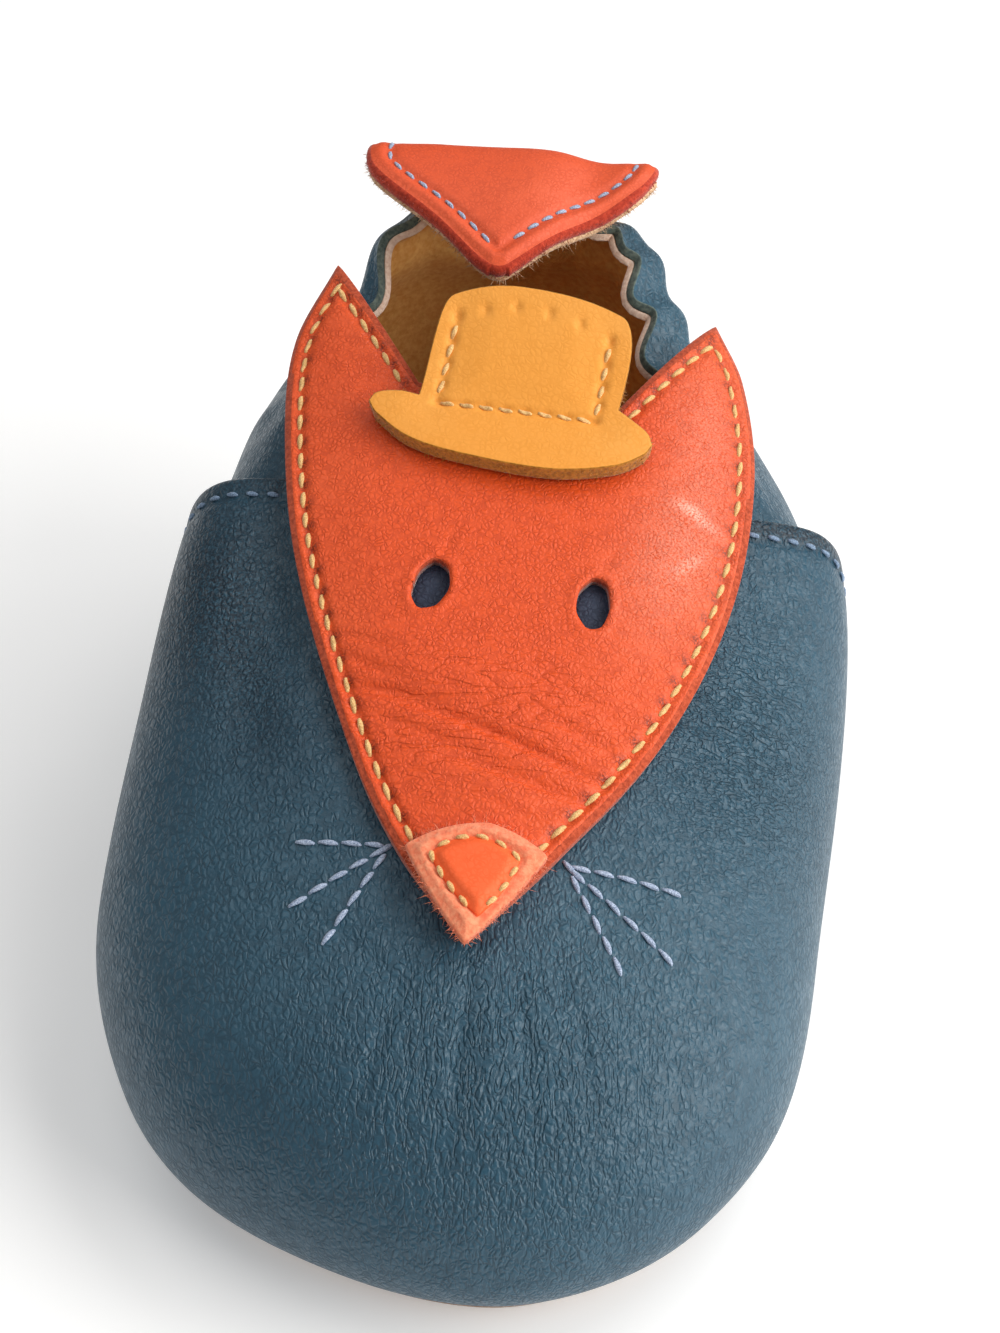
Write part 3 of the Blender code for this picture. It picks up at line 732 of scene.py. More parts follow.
hem = 1 - ease(HEM_WIDTH - HEM_FADE, HEM_WIDTH + HEM_FADE, from_throat)
points, quads, part = sheet(
    vamp_grid, LEATHER * (1 + HEM_EXTRA * hem), edge=0.9, rim_steps=8, folded=True, normal=vamp_normal
)
x, y = points[:, 0], points[:, 1]
# Painted shade: dark along the folded throat edge, and in the hollow beside the face
before_throat = np.maximum(THROAT_AT + throat_bend(x) - y, 0.0)
fold_painted_shade = np.exp(-((before_throat / FOLD_SHADE_WIDTH) ** 4))
fold_painted_shade = fold_painted_shade * np.where(x > 0, INNER_FOLD_SHADE, OUTER_FOLD_SHADE)
masks = {
    "toe_creases": patch(x, y, *TOE_PATCH),
    "side_creases": patch(x, y, *SIDE_PATCH),
    "painted_vamp_shade": np.maximum(fold_painted_shade, -crease_field(HOLLOW_PAINTED_SHADE, x, y)),
}
vamp_finishes = [UPPER_LEATHER, UPPER_LEATHER, LINING_SUEDE]
piece("vamp_leather", points, quads, vamp_finishes, part, masks, ("upper",))
inner_grid = (vamp_grid - vamp_normal * (LEATHER + LINING_GAP))[:-LINING_SHORT_ROWS:2, ::2]
cut_piece(
    "vamp_lining", inner_grid, LINING_FINISHES, "lining_suede",
    thickness=LINING, edge=0.2, square=0.6, folded=True,
)

# %% [markdown]
# ## Heel quarter
# The quarter is one piece round the heel whose front ends are tucked inside the vamp. An elastic in a casing
# gathers its collar: the leather is pinched along the elastic and flares above it in ruffles, which run down
# as soft pleats. A cloth simulation could gather it too, but ruffles that are written as one slightly uneven
# wave stay where they are wanted. Leather and lining are two sheets with raw edges that show side by side.

# %% Quarter surface
QUARTER_INNER_FRONT, QUARTER_OUTER_FRONT = 64.0, 70.0
QUARTER_INSET, VAMP_CLEARANCE = 2.0, 1.0
QUARTER_COLUMNS, QUARTER_ROWS, QUARTER_SKIRT, QUARTER_PASSES = 300, 84, 16, 3
QUARTER_LEATHER, QUARTER_LINING, QUARTER_GAP = 0.9, 0.75, 0.05
TUCK_FADE, ARCH_FADE = 15.0, 40.0
LEAN_POWER, ARCHED_LEAN, ARCHED_FULLNESS = 2.3, 0.7, 1.3
GATHER_AT, GATHER_SPREAD, PLEAT_SPREAD = 0.84, 0.1, 0.15
PINCH, SWELL, CURL, SAG = 1.6, 1.7, 1.8, 1.0
OUTER_FLATNESS, FLAT_START, FLAT_END = 0.8, 0.55, 0.7
RUFFLE, RUFFLE_COUNT, RUFFLE_DRIFT = 1.1, 16, 0.45
RUFFLE_SIZE, RUFFLE_CHANGE = 0.75, 0.35
PLEAT, SCALLOP = 0.45, 0.35
RUFFLE_START, SCALLOP_START, CURL_START, SAG_START = 0.3, 0.4, 0.45, 0.6

# Edge of the collar from the inner front round the heel to the outer front: place, across, along, height
COLLAR = (
    ("inner front", 16.5, 66.0, 38.8),
    ("inner side", 18.0, 86.0, 44.5),
    ("inner bend", 16.7, 95.0, 48.6),
    ("inner back", 13.6, 104.4, 53.0),
    ("back", 0.8, 108.8, 53.4),
    ("outer back", -11.6, 104.8, 53.2),
    ("outer bend", -13.8, 97.0, 49.4),
    ("outer side", -15.8, 88.0, 45.2),
    ("outer front", -14.5, 72.0, 39.8),
)


def bell(value, middle, width):
    """1 at the middle, falling off as exp(-(distance / width)^2)."""
    return np.exp(-(((value - middle) / width) ** 2))


def quarter_surface(columns, rows, steps):
    """Columns round the heel from seam to collar: plan and height go from the side line to the collar's edge.

    Near the front ends the height follows the vamp from below. Gathers move the wall along its plan normal:
    a pinch with faint pleats at the elastic, a swell above it and an edge that curls in and waves. The wave
    drifts a little and changes in size, which makes the ruffles uneven.
    """
    first = int(np.argmax(INNER_SIDE[:, 1] > QUARTER_INNER_FRONT))
    last = len(PLAN) - int(np.argmax(OUTER_SIDE[:, 1] > QUARTER_OUTER_FRONT))
    base = even(PLAN[first:last], columns)
    share = np.linspace(0.0, 1.0, columns)
    normal = outward(base)
    behind = base[:, 1] - np.where(base[:, 0] > 0, QUARTER_INNER_FRONT, QUARTER_OUTER_FRONT)
    tucked = 1 - ease(0.0, TUCK_FADE, behind)
    arched = 1 - ease(0.0, ARCH_FADE, behind)
    base = base - normal * (QUARTER_INSET * arched)[:, None]
    collar = smooth_path([row[1:] for row in COLLAR], columns)

    rise = np.sin(np.linspace(0.0, math.pi / 2, rows))[:, None]
    lean = (1 - rise ** (LEAN_POWER + ARCHED_LEAN * arched)) ** (1 / (1 + ARCHED_FULLNESS * arched))
    side = column(SIDES, SIDE_LEVEL, base[:, 1])
    plan = collar[None, :, :2] + (base - collar[:, :2])[None] * lean[..., None]
    height = side + (collar[:, 2] - side) * rise
    under_vamp = dome(plan[..., 0], plan[..., 1], QUARTER_INSET)
    under_vamp = np.minimum(under_vamp, collar[:, 2] + VAMP_CLEARANCE)
    height = height + (under_vamp - height) * tucked

    turns = RUFFLE_COUNT * share + RUFFLE_DRIFT * np.sin(4 * math.pi * share + 0.5)
    wave = np.sin(2 * math.pi * turns)
    wave = wave * (RUFFLE_SIZE + RUFFLE_CHANGE * np.sin(7 * math.pi * share + 2.0))
    above = np.clip((rise - GATHER_AT) / (1 - GATHER_AT), 0.0, 1.0)
    flat = 1 - OUTER_FLATNESS * ease(FLAT_START, FLAT_END, share)
    gather = flat * (SWELL * np.sin(math.pi * above) - CURL * ease(CURL_START, 1.0, above))
    gather = gather - PINCH * bell(rise, GATHER_AT, GATHER_SPREAD)
    ruffles = RUFFLE * ease(RUFFLE_START, 1.0, above) + PLEAT * bell(rise, GATHER_AT, PLEAT_SPREAD)
    gather = gather + wave * ruffles
    plan = plan + normal[None] * (gather * (1 - arched))[..., None]
    sag = SAG * ease(SAG_START, 1.0, above)
    height = height + (SCALLOP * wave * ease(SCALLOP_START, 1.0, above) - sag) * (1 - arched)
    return np.concatenate([skirt(base, normal, steps), np.dstack([plan, height])], axis=0)


quarter_grid = smoothed(quarter_surface(QUARTER_COLUMNS, QUARTER_ROWS, QUARTER_SKIRT), QUARTER_PASSES)
quarter_normal = grid_normals(quarter_grid)
raw_cut = {"edge": 0.12, "square": 0.55, "rim_steps": 6}
points, quads, part = sheet(quarter_grid, QUARTER_LEATHER, normal=quarter_normal, **raw_cut)
quarter_finishes = [UPPER_LEATHER, UPPER_EDGE, UPPER_EDGE]
unmarked = {key: np.zeros(len(points)) for key in masks}
piece("quarter_leather", points, quads, quarter_finishes, part, unmarked, ("upper",))
inner_grid = (quarter_grid - quarter_normal * (QUARTER_LEATHER + QUARTER_GAP))[:, ::2]
cut_piece(
    "quarter_lining", inner_grid, LINING_FINISHES, "lining_suede", thickness=QUARTER_LINING, **raw_cut
)

# %% [markdown]
# ## Sole and insole
# Both are flat suede cut to the seam line and lifted a little at the toe and waist. A patch between four edge
# runs, called a Coons patch, fills such an outline with an even grid: it adds the two ways of ruling straight
# lines between opposite edges and takes away the corners counted twice.

# %% Sole and insole
SOLE, SOLE_MARGIN = 1.6, 0.4
INSOLE, INSOLE_MARGIN, INSOLE_LEVEL = 1.2, 2.4, 3.15
FLOOR_CORNERS = ((16, 8), (15, 110), (-14, 110), (-20, 8))
FLOOR_SIDE_STEPS, FLOOR_END_STEPS = 120, 50


def fill(bottom, right, top, left):
    """Coons patch: left to right lines plus bottom to top lines, less the patch of straight corner lines."""
    u = np.linspace(0.0, 1.0, len(bottom))[None, :, None]
    v = np.linspace(0.0, 1.0, len(left))[:, None, None]
    ruled = (1 - v) * bottom[None] + v * top[None] + (1 - u) * left[:, None] + u * right[:, None]
    corners = (1 - v) * ((1 - u) * bottom[0] + u * bottom[-1]) + v * ((1 - u) * top[0] + u * top[-1])
    return ruled - corners


def floor_piece(name, inset, level, thickness, finishes, slot, node_name):
    """A flat piece inside the seam line, its top at a level over the lifted floor."""
    normal = outward(np.vstack([PLAN[-1:], PLAN, PLAN[:1]]))[1:-1]
    line = PLAN - normal * (column(SIDES, TUCK, PLAN[:, 1]) + inset)[:, None]
    corner = [int(np.argmin(np.linalg.norm(line - place, axis=1))) for place in FLOOR_CORNERS]
    inner = even(line[corner[0] : corner[1]], FLOOR_SIDE_STEPS)
    heel = even(line[corner[1] : corner[2]], FLOOR_END_STEPS)
    outer = even(line[corner[2] : corner[3]], FLOOR_SIDE_STEPS)
    toe = even(np.vstack([line[corner[3] :], line[: corner[0]]]), FLOOR_END_STEPS)
    toe[0], toe[-1], heel[0], heel[-1] = outer[-1], inner[0], inner[-1], outer[0]
    plan = fill(toe, inner, heel[::-1], outer[::-1])
    grid = np.dstack([plan, level + floor_lift(plan[..., 1])])
    cut_piece(name, grid, finishes, slot, (node_name,), thickness=thickness, edge=0.4, square=0.8)


floor_piece("sole_piece", -SOLE_MARGIN, SOLE, SOLE, [SOLE_SUEDE] * 3, "sole_suede", "sole")
floor_piece(
    "insole_sock", INSOLE_MARGIN, INSOLE_LEVEL, INSOLE, LINING_FINISHES, "lining_suede", "insole"
)

# %% [markdown]
# ## Stitches
# A machine stitch is a short length of two-ply thread that comes up through one hole and goes down through
# the next. Each is a tube along the seam that arches over the leather and dives at both ends, and its
# section has two lobes that turn along the thread. One function makes a whole seam as arrays of stitches,
# rings and sides. A curve with a bevel would need one object for each stitch.

# %% Stitch function and needle holes
STITCH_SIDES, STITCH_RINGS = 8, 9
STITCH_LIFT, STITCH_TWIST = 0.12, 4.0
LOBE_DEPTH, THREAD_FLATNESS = 0.22, 0.85


def stitch_starts(run, pitch):
    """Distances along a run at which whole stitches start, centred on the run."""
    length = arc_length(run)[-1]
    count = int(length // pitch)
    return (length - count * pitch) / 2 + pitch * np.arange(count)


def tubes(rings):
    """Points and quads of many tubes at once, from an array of tubes, rings and sides."""
    index = np.arange(rings[..., 0].size).reshape(rings.shape[:3])
    turned = np.roll(index, -1, axis=2)
    quads = np.stack([index[:, :-1], turned[:, :-1], turned[:, 1:], index[:, 1:]], axis=-1)
    return rings.reshape(-1, 3), quads.reshape(-1, 4)


def seam(run, normal, pitch, reach, radius, slant=0.1, taper=6):
    """Stitches along a run, each from s = -1 to s = 1.

    The centre rises by lift * (1 - s^2) and dives by radius * s^4, the radius shrinks as (1 - s^taper)^(1/2),
    and two lobes turn along the thread.
    """
    s = np.linspace(-1.0, 1.0, STITCH_RINGS)
    places = stitch_starts(run, pitch)[:, None] + pitch / 2 + s * reach / 2
    centre = at_arc(run, places)
    arc = arc_length(run)
    up = unit(np.stack([np.interp(places, arc, normal[:, k]) for k in range(3)], axis=-1))
    ahead = unit(np.gradient(centre, axis=1))
    aside = unit(np.cross(ahead, up))
    rise = STITCH_LIFT * (1 - s**2) - radius * s**4
    centre = centre + up * rise[None, :, None] + aside * (slant * s)[None, :, None]
    turn = np.linspace(0.0, 2 * math.pi, STITCH_SIDES, endpoint=False)
    lobes = 1 + LOBE_DEPTH * np.cos(2 * turn[None] + STITCH_TWIST * s[:, None])
    wide = radius * np.sqrt(1 - np.abs(s) ** taper)[:, None] * lobes
    ring = centre[:, :, None] + aside[:, :, None] * (wide * np.cos(turn))[None, ..., None]
    return tubes(ring + up[:, :, None] * (THREAD_FLATNESS * wide * np.sin(turn))[None, ..., None])


def sew(name, seams, finish):
    """All the stitches of one thread as a piece."""
    offsets = np.cumsum([0] + [len(points) for points, _ in seams[:-1]])
    points = np.concatenate([points for points, _ in seams])
    quads = np.concatenate([quads + shift for (_, quads), shift in zip(seams, offsets)])
    piece(name, points, quads, [finish])


def lay_on(height, x, y, offset):
    """Points over the plan, moved out from a height function along its normal, and the normals."""
    half = 0.05
    slope_x = (height(x + half, y) - height(x - half, y)) / (2 * half)
    slope_y = (height(x, y + half) - height(x, y - half)) / (2 * half)
    normal = unit(np.stack([-slope_x, -slope_y, np.ones_like(slope_x)], axis=-1))
    offset = np.asarray(offset, float)
    return np.stack([x, y, height(x, y)], axis=-1) + normal * offset[..., None], normal


def beside(run, distance):
    """A plan run moved to its left by a distance."""
    ahead = unit(np.gradient(run, axis=0))
    return run + np.stack([-ahead[:, 1], ahead[:, 0]], axis=1) * distance


def line_distance(x, y, line):
    """Distance in plan from points to a run of straight segments."""
    start, step = line[:-1], np.diff(line, axis=0)
    size = np.maximum(np.sum(step**2, axis=1), 1e-12)
    dx, dy = x[..., None] - start[:, 0], y[..., None] - start[:, 1]
    t = np.clip((dx * step[:, 0] + dy * step[:, 1]) / size, 0.0, 1.0)
    return np.sqrt(((dx - t * step[:, 0]) ** 2 + (dy - t * step[:, 1]) ** 2).min(axis=-1))


def needle_holes(run, pitch):
    """Plan places where the needle went through, at both ends of every stitch."""
    starts = stitch_starts(run, pitch)
    return at_arc(run, np.append(starts, starts[-1] + pitch))


def dimples(x, y, holes, radius):
    """Sum of small round dents, 1 deep at each hole."""
    far = (x[..., None] - holes[:, 0]) ** 2 + (y[..., None] - holes[:, 1]) ** 2
    return np.exp(-far / radius**2).sum(axis=-1)


print("faces of a stitch:", STITCH_SIDES * (STITCH_RINGS - 1))

# %% [markdown]
# ## Fuzz
# Raw cuts of suede and felt shed short fibres, which soften their outline. Blender's hair could grow them,
# but a few hundred thin hairs along the edges that show are enough, and as plain mesh they stay with the
# piece.

# %% Fuzz function
HAIR_RADIUS, HAIR_SIDES, HAIR_SEED = 0.035, 3, 7
HAIR_STEPS = np.array([0.0, 0.15, 0.6, 1.0])
HAIR_TAPER = np.array([0.0, 1.0, 0.7, 0.0])
HAIR_TILT, HAIR_SWAY, HAIR_SHORTEST = 0.7, 0.4, 0.35
ROOT_SPREAD, ROOT_DEPTH = 0.4, 0.1


def fringe(name, points, shape, rim_steps, count, length, finish, front=1e3):
    """Hairs out of a sheet's rim as far as front: each is root + size * (heading * s + sway * s^2)."""
    loop = border(*shape, False)
    first, around = shape[0] * shape[1], len(loop)
    middle = points[first + around * (rim_steps // 2 - 1) : first + around * (rim_steps // 2)]
    top, bottom = points[loop], points[loop + first + around * (rim_steps - 1)]
    random = np.random.default_rng(HAIR_SEED)
    chance = np.linalg.norm(np.gradient(middle, axis=0), axis=1) * (middle[:, 1] < front)
    picked = random.choice(around, count, p=chance / chance.sum())
    rise, out = unit(top - bottom)[picked], unit(middle - (top + bottom) / 2)[picked]
    along = np.cross(rise, out)
    tilt = random.normal(0.0, HAIR_TILT, (2, count, 1))
    heading = unit(out + tilt[0] * along + tilt[1] * rise)
    sway = random.normal(0.0, HAIR_SWAY, (count, 3))
    size = length * random.uniform(HAIR_SHORTEST, 1.0, (count, 1, 1))
    level = random.uniform(-ROOT_SPREAD, ROOT_SPREAD, (count, 1))
    root = middle[picked] + (top - bottom)[picked] * level - ROOT_DEPTH * out
    s = HAIR_STEPS[None, :, None]
    centre = root[:, None] + size * (heading[:, None] * s + sway[:, None] * s**2)
    turn = np.arange(HAIR_SIDES) * 2 * math.pi / HAIR_SIDES
    thick = HAIR_RADIUS * HAIR_TAPER[:, None]
    rings = centre[:, :, None] + along[:, None, None] * (thick * np.cos(turn))[None, ..., None]
    hairs, quads = tubes(rings + rise[:, None, None] * (thick * np.sin(turn))[None, ..., None])
    piece(name, hairs, quads, [finish])


print("thickness of a hair:", 2 * HAIR_RADIUS, "mm")

# %% [markdown]
# ## Face panel
# The face is one cut piece of orange leather with two punched eye holes, sewn to the vamp all round. Its ears
# stand free behind the throat. Its outline is filled with a grid, cells over the eyes are dropped and the
# points round them moved onto the ovals, so that no Boolean is needed. The stitch line is pulled in, which
# leaves a soft welt along the edge, and each needle hole is a dent.

# %% Face tables
# Outline from the nose up the inner side, across the forehead and down the outer: place, across, along
FACE_INNER = (
    ("nose tip", -1.6, 22.2),
    ("cheek", 5.3, 29.7),
    ("jaw", 15.4, 43.2),
    ("temple", 22.3, 58.2),
    ("ear base", 24.9, 72.0),
    ("ear side", 24.1, 84.0),
    ("ear tip", 21.6, 90.5),
)
FACE_FOREHEAD = (
    ("inner notch", 11.2, 77.2),
    ("outer notch", -8.0, 80.5),
)
FACE_OUTER = (
    ("ear tip", -16.6, 95.6),
    ("ear side", -20.3, 87.5),
    ("ear base", -20.8, 77.0),
    ("temple", -18.8, 61.6),
    ("jaw", -12.5, 41.1),
    ("cheek", -7.6, 30.4),
    ("nose tip", -1.6, 22.2),
)

# Eye holes: side, across, along, half width, half length, lean in degrees
EYES = (
    ("inner", 9.2, 55.8, 1.55, 2.75, -8.0),
    ("outer", -5.9, 57.3, 1.7, 2.75, -14.0),
)

# Wrinkles: place, across, along, heading in degrees from across, half length, half width, depth
FACE_CREASES = (
    ("long wrinkle", -9.5, 46.4, -14, 7.0, 0.5, 0.3),
    ("long wrinkle", -1.0, 42.8, -24, 7.5, 0.5, 0.36),
    ("long wrinkle", 6.0, 39.6, -22, 6.0, 0.5, 0.3),
    ("long wrinkle", -4.5, 41.4, -22, 6.0, 0.5, 0.26),
    ("long wrinkle", 8.2, 42.4, -28, 5.0, 0.5, 0.24),
    ("upper wrinkle", -6.5, 44.6, -20, 6.0, 0.5, 0.28),
    ("upper wrinkle", -11.5, 49.2, -28, 4.0, 0.5, 0.22),
    ("lower wrinkle", 4.6, 37.0, -18, 5.5, 0.5, 0.28),
    ("lower wrinkle", -1.5, 39.2, -20, 5.5, 0.5, 0.24),
    ("lower wrinkle", 1.6, 34.6, -24, 4.0, 0.5, 0.16),
    ("outer wrinkle", -11.8, 51.8, -18, 4.0, 0.5, 0.2),
    ("inner wrinkle", 8.5, 45.8, -30, 4.5, 0.5, 0.18),
    ("swell", -4.0, 48.5, -20, 9.0, 2.2, -0.25),
    ("swell", 3.0, 34.5, -20, 6.0, 2.0, -0.2),
    ("eye pucker", 10.6, 60.2, 60, 1.6, 0.35, 0.2),
    ("eye pucker", -4.6, 61.2, 70, 1.6, 0.35, 0.2),
)

# Places rubbed pale: place, across, along, heading in degrees from across, half length, half width, strength
FACE_SCUFFS = (
    ("temple scratch", 19.6, 65.6, -35, 2.0, 0.45, 0.9),
    ("temple scratch", 18.4, 66.6, -10, 1.4, 0.4, 0.6),
    ("cheek scratch", 18.4, 60.4, 40, 1.8, 0.5, 0.45),
    ("rubbed temple", 17.5, 61.5, 70, 9.0, 4.5, 0.3),
    ("rubbed ear", 20.5, 76.0, 85, 8.0, 4.0, 0.22),
)
print("wrinkles:", len(FACE_CREASES))

# %% Face surface
GAP, PANEL = 0.35, 1.3
PANEL_WIDEST, EAR_RISE, EAR_START = 0.9, 0.004, 69.6
FACE_STITCH = {"pitch": 2.5, "reach": 2.2, "radius": 0.24, "slant": 0.15}
FACE_INSET, RUN_STEPS = 1.4, 300
FACE_PUFF, PUFF_START, PUFF_END = 0.3, 1.0, 8.0
EDGE_DROP, EDGE_ROUND = 0.3, 0.8
FACE_GROOVE, FACE_GROOVE_WIDTH = 0.3, 0.5
HOLE_DEPTH, HOLE_RADIUS = 0.22, 0.42
EYE_LIP, EYE_LIP_AT, EYE_LIP_WIDTH = 0.16, 1.2, 0.22

face_inner = smooth_path(plan_points(FACE_INNER), CURVE_STEPS)
face_outer = smooth_path(plan_points(FACE_OUTER), CURVE_STEPS)
forehead = np.vstack([face_inner[-1:], plan_points(FACE_FOREHEAD), face_outer[:1]])
face_line = np.vstack([even(face_inner, 90), even(forehead, 60)[1:], even(face_outer, 90)[1:]])
inner_ear = np.vstack([face_inner[-1:], plan_points(FACE_FOREHEAD)[:1]])
outer_ear = np.vstack([plan_points(FACE_FOREHEAD)[1:], face_outer[:1]])

# Sewn stretches of the edge: edge, first of its even steps, step that it stops before
SEWN = ((face_inner, 34, 293), (inner_ear, 30, 300), (outer_ear, 0, 270), (face_outer, 6, 262))
face_runs = [beside(even(edge, RUN_STEPS), FACE_INSET)[first:last] for edge, first, last in SEWN]
face_holes = np.vstack([needle_holes(run, FACE_STITCH["pitch"]) for run in face_runs])


def panel_height(x, y):
    """The last carried on past the throat, where the ears rise off its line."""
    past = np.maximum(y - EAR_START, 0.0)
    return dome(x, y, widest=PANEL_WIDEST) + EAR_RISE * past**2


def eye_share(x, y, eye):
    """1 on an eye hole's slightly uneven oval, less inside it."""
    _, across, along, half_width, half_length, lean = eye
    c, s = math.cos(math.radians(lean)), math.sin(math.radians(lean))
    wide = ((x - across) * c + (y - along) * s) / half_width
    long = ((y - along) * c - (x - across) * s) / half_length
    turn = np.arctan2(long, wide)
    uneven = 1 + 0.025 * np.cos(3 * turn + across) + 0.02 * np.cos(7 * turn)
    return np.hypot(wide, long) / uneven


def face_relief(x, y):
    """Welt along the edge, stitch line pulled in with its needle holes, puckered eyes and wrinkles."""
    rim = line_distance(x, y, face_line)
    relief = FACE_PUFF * ease(PUFF_START, PUFF_END, rim) - EDGE_DROP * (1 - ease(0.0, EDGE_ROUND, rim))
    relief -= FACE_GROOVE * bell(rim, FACE_INSET, FACE_GROOVE_WIDTH)
    relief -= HOLE_DEPTH * dimples(x, y, face_holes, HOLE_RADIUS)
    for eye in EYES:
        relief += EYE_LIP * bell(eye_share(x, y, eye), EYE_LIP_AT, EYE_LIP_WIDTH)
    return relief + crease_field(FACE_CREASES, x, y)


def on_face(x, y):
    """Points and normals on the panel's outer face."""
    return lay_on(panel_height, x, y, GAP + PANEL + face_relief(x, y))


print("needle holes round the face:", len(face_holes))

# %% Face panel
FACE_ROWS, FACE_COLUMNS = 190, 116
NOSE_END_HALF, NOSE_END_BACK = 0.4, 0.3
CUT_WIDTH, NEEDLE_SHADE_RADIUS = 0.5, 0.5
FACE_PATCH = (-1.0, 43.0, 13.0, 8.0)

tip = face_inner[0]
inner_edge, outer_edge = even(face_inner, FACE_ROWS), even(face_outer, FACE_ROWS)[::-1]
inner_edge[0], outer_edge[0] = tip + (NOSE_END_HALF, NOSE_END_BACK), tip + (-NOSE_END_HALF, NOSE_END_BACK)
nose_end = np.linspace(outer_edge[0], inner_edge[0], FACE_COLUMNS)
plan = fill(nose_end, inner_edge, even(forehead, FACE_COLUMNS)[::-1], outer_edge)
dropped = np.zeros((FACE_ROWS - 1, FACE_COLUMNS - 1), bool)
for eye in EYES:
    centres = (plan[:-1, :-1] + plan[1:, 1:] + plan[1:, :-1] + plan[:-1, 1:]) / 4
    hole = eye_share(centres[..., 0], centres[..., 1], eye) < 1.0
    dropped |= hole
    touched = np.zeros(plan.shape[:2], int)
    for rows, columns in ((0, 0), (0, 1), (1, 0), (1, 1)):
        touched[rows : FACE_ROWS - 1 + rows, columns : FACE_COLUMNS - 1 + columns] += hole
    on_rim = (touched > 0) & (touched < 4)
    centre = np.array(eye[1:3])
    share = eye_share(plan[..., 0], plan[..., 1], eye)[on_rim]
    plan[on_rim] = centre + (plan[on_rim] - centre) / share[:, None]
face_grid, face_normal = on_face(plan[..., 0], plan[..., 1])
points, quads, part = sheet(
    face_grid, PANEL, edge=0.15, square=0.6, rim_steps=6, dropped=dropped, normal=face_normal
)
rim = line_distance(plan[..., 0], plan[..., 1], face_line).ravel()
top = np.flatnonzero(part == GRAIN_FACE)
part[top[rim[quads[top]].mean(axis=1) < CUT_WIDTH]] = RIM_FACE
x, y = points[:, 0], points[:, 1]
face_values = {
    "face_creases": patch(x, y, *FACE_PATCH),
    "face_scuffs": np.clip(-crease_field(FACE_SCUFFS, x, y), 0.0, 1.0),
    # Painted shade: dark brown in each needle hole
    "face_needle_hole_shade": np.clip(dimples(x, y, face_holes, NEEDLE_SHADE_RADIUS), 0.0, 1.0),
}
face_finishes = [FACE_LEATHER, FACE_EDGE, FACE_EDGE]
piece("face_applique", points, quads, face_finishes, part, face_values, ("face_panel",))
face_seams = [seam(*on_face(run[:, 0], run[:, 1]), **FACE_STITCH) for run in face_runs]
sew("face_stitches", face_seams, FACE_THREAD)

# %% [markdown]
# The eye holes show a dark ground. A small patch under each hole gives it, just above the vamp and below
# the panel's back; its dark navy is painted shade for the inside of the holes.

# %% Eye ground
SCRAP_STEPS, SCRAP_WIDTH, SCRAP_LENGTH = 24, 1.5, 1.35
SCRAP_LEVEL, SCRAP_FALL = 0.55, 0.25

for side, across, along, half_width, half_length, _ in EYES:
    square = np.linspace(-1.0, 1.0, SCRAP_STEPS)
    u, v = np.meshgrid(square, square)
    x = across + SCRAP_WIDTH * half_width * u * np.sqrt(1 - v**2 / 2)
    y = along + SCRAP_LENGTH * half_length * v * np.sqrt(1 - u**2 / 2)
    grid, normal = lay_on(panel_height, x, y, GAP + SCRAP_LEVEL - SCRAP_FALL * (u**2 + v**2))
    # Painted shade: the dark navy under the eye holes
    finishes = [EYE_SHADE_LEATHER] * 3
    cut_piece("eye_ground_" + side, grid, finishes, "upper_leather", thickness=0.5, edge=0.1, normal=normal)

# %% [markdown]
# ## Nose patch
# The nose is a fuzzy patch whose flesh side forms a pale frame round a smooth orange centre, sewn along their
# border. Both are filled outlines laid over the face panel: the frame sinks in the middle, and the centre is
# a small pillow that rests in it.

# %% Nose
# Corners of the patch and of its centre: place, across, along
NOSE = (
    ("tip", -1.8, 21.5),
    ("inner corner", 4.8, 29.6),
    ("top", 0.0, 32.4),
    ("outer corner", -6.9, 30.2),
)
NOSE_CENTRE = (
    ("tip", -0.8, 23.6),
    ("inner corner", 2.6, 28.8),
    ("top", -0.7, 30.9),
    ("outer corner", -4.9, 29.2),
)
NOSE_BULGE, CENTRE_BULGE = (0.03, 0.06, 0.08, 0.03), (0.06, 0.1, 0.12, 0.06)
NOSE_STEPS, CENTRE_STEPS, RING_STEPS = 40, 26, 200
NOSE_THICKNESS, CENTRE_THICKNESS = 1.1, 0.7
NOSE_RISE, NOSE_DROP, NOSE_ROUND = 0.15, 0.5, 1.1
NOSE_DIP, NOSE_DIP_WIDTH = 0.5, 0.5
CENTRE_RISE, CENTRE_DROP, CENTRE_ROUND = 0.4, 0.5, 0.9
NOSE_STITCH, NOSE_STITCH_SINK = {"pitch": 1.75, "reach": 1.35, "radius": 0.22}, 0.1
NOSE_BASE = 2 * GAP + PANEL
NOSE_TOP = NOSE_BASE + NOSE_THICKNESS


def kite(table, bulge, count):
    """Four edge runs between a table's corners, bowed out by a share of their length, as a filled plan."""
    corners = np.array(plan_points(table))
    s = np.linspace(0.0, 1.0, count)[:, None]
    runs = []
    for k in range(4):
        start, end = corners[k], corners[(k + 1) % 4]
        out = np.array([end[1] - start[1], start[0] - end[0]])
        runs.append(start + (end - start) * s + out * bulge[k] * 4 * s * (1 - s))
    return fill(runs[0], runs[1], runs[2][::-1], runs[3][::-1]), np.vstack(runs)


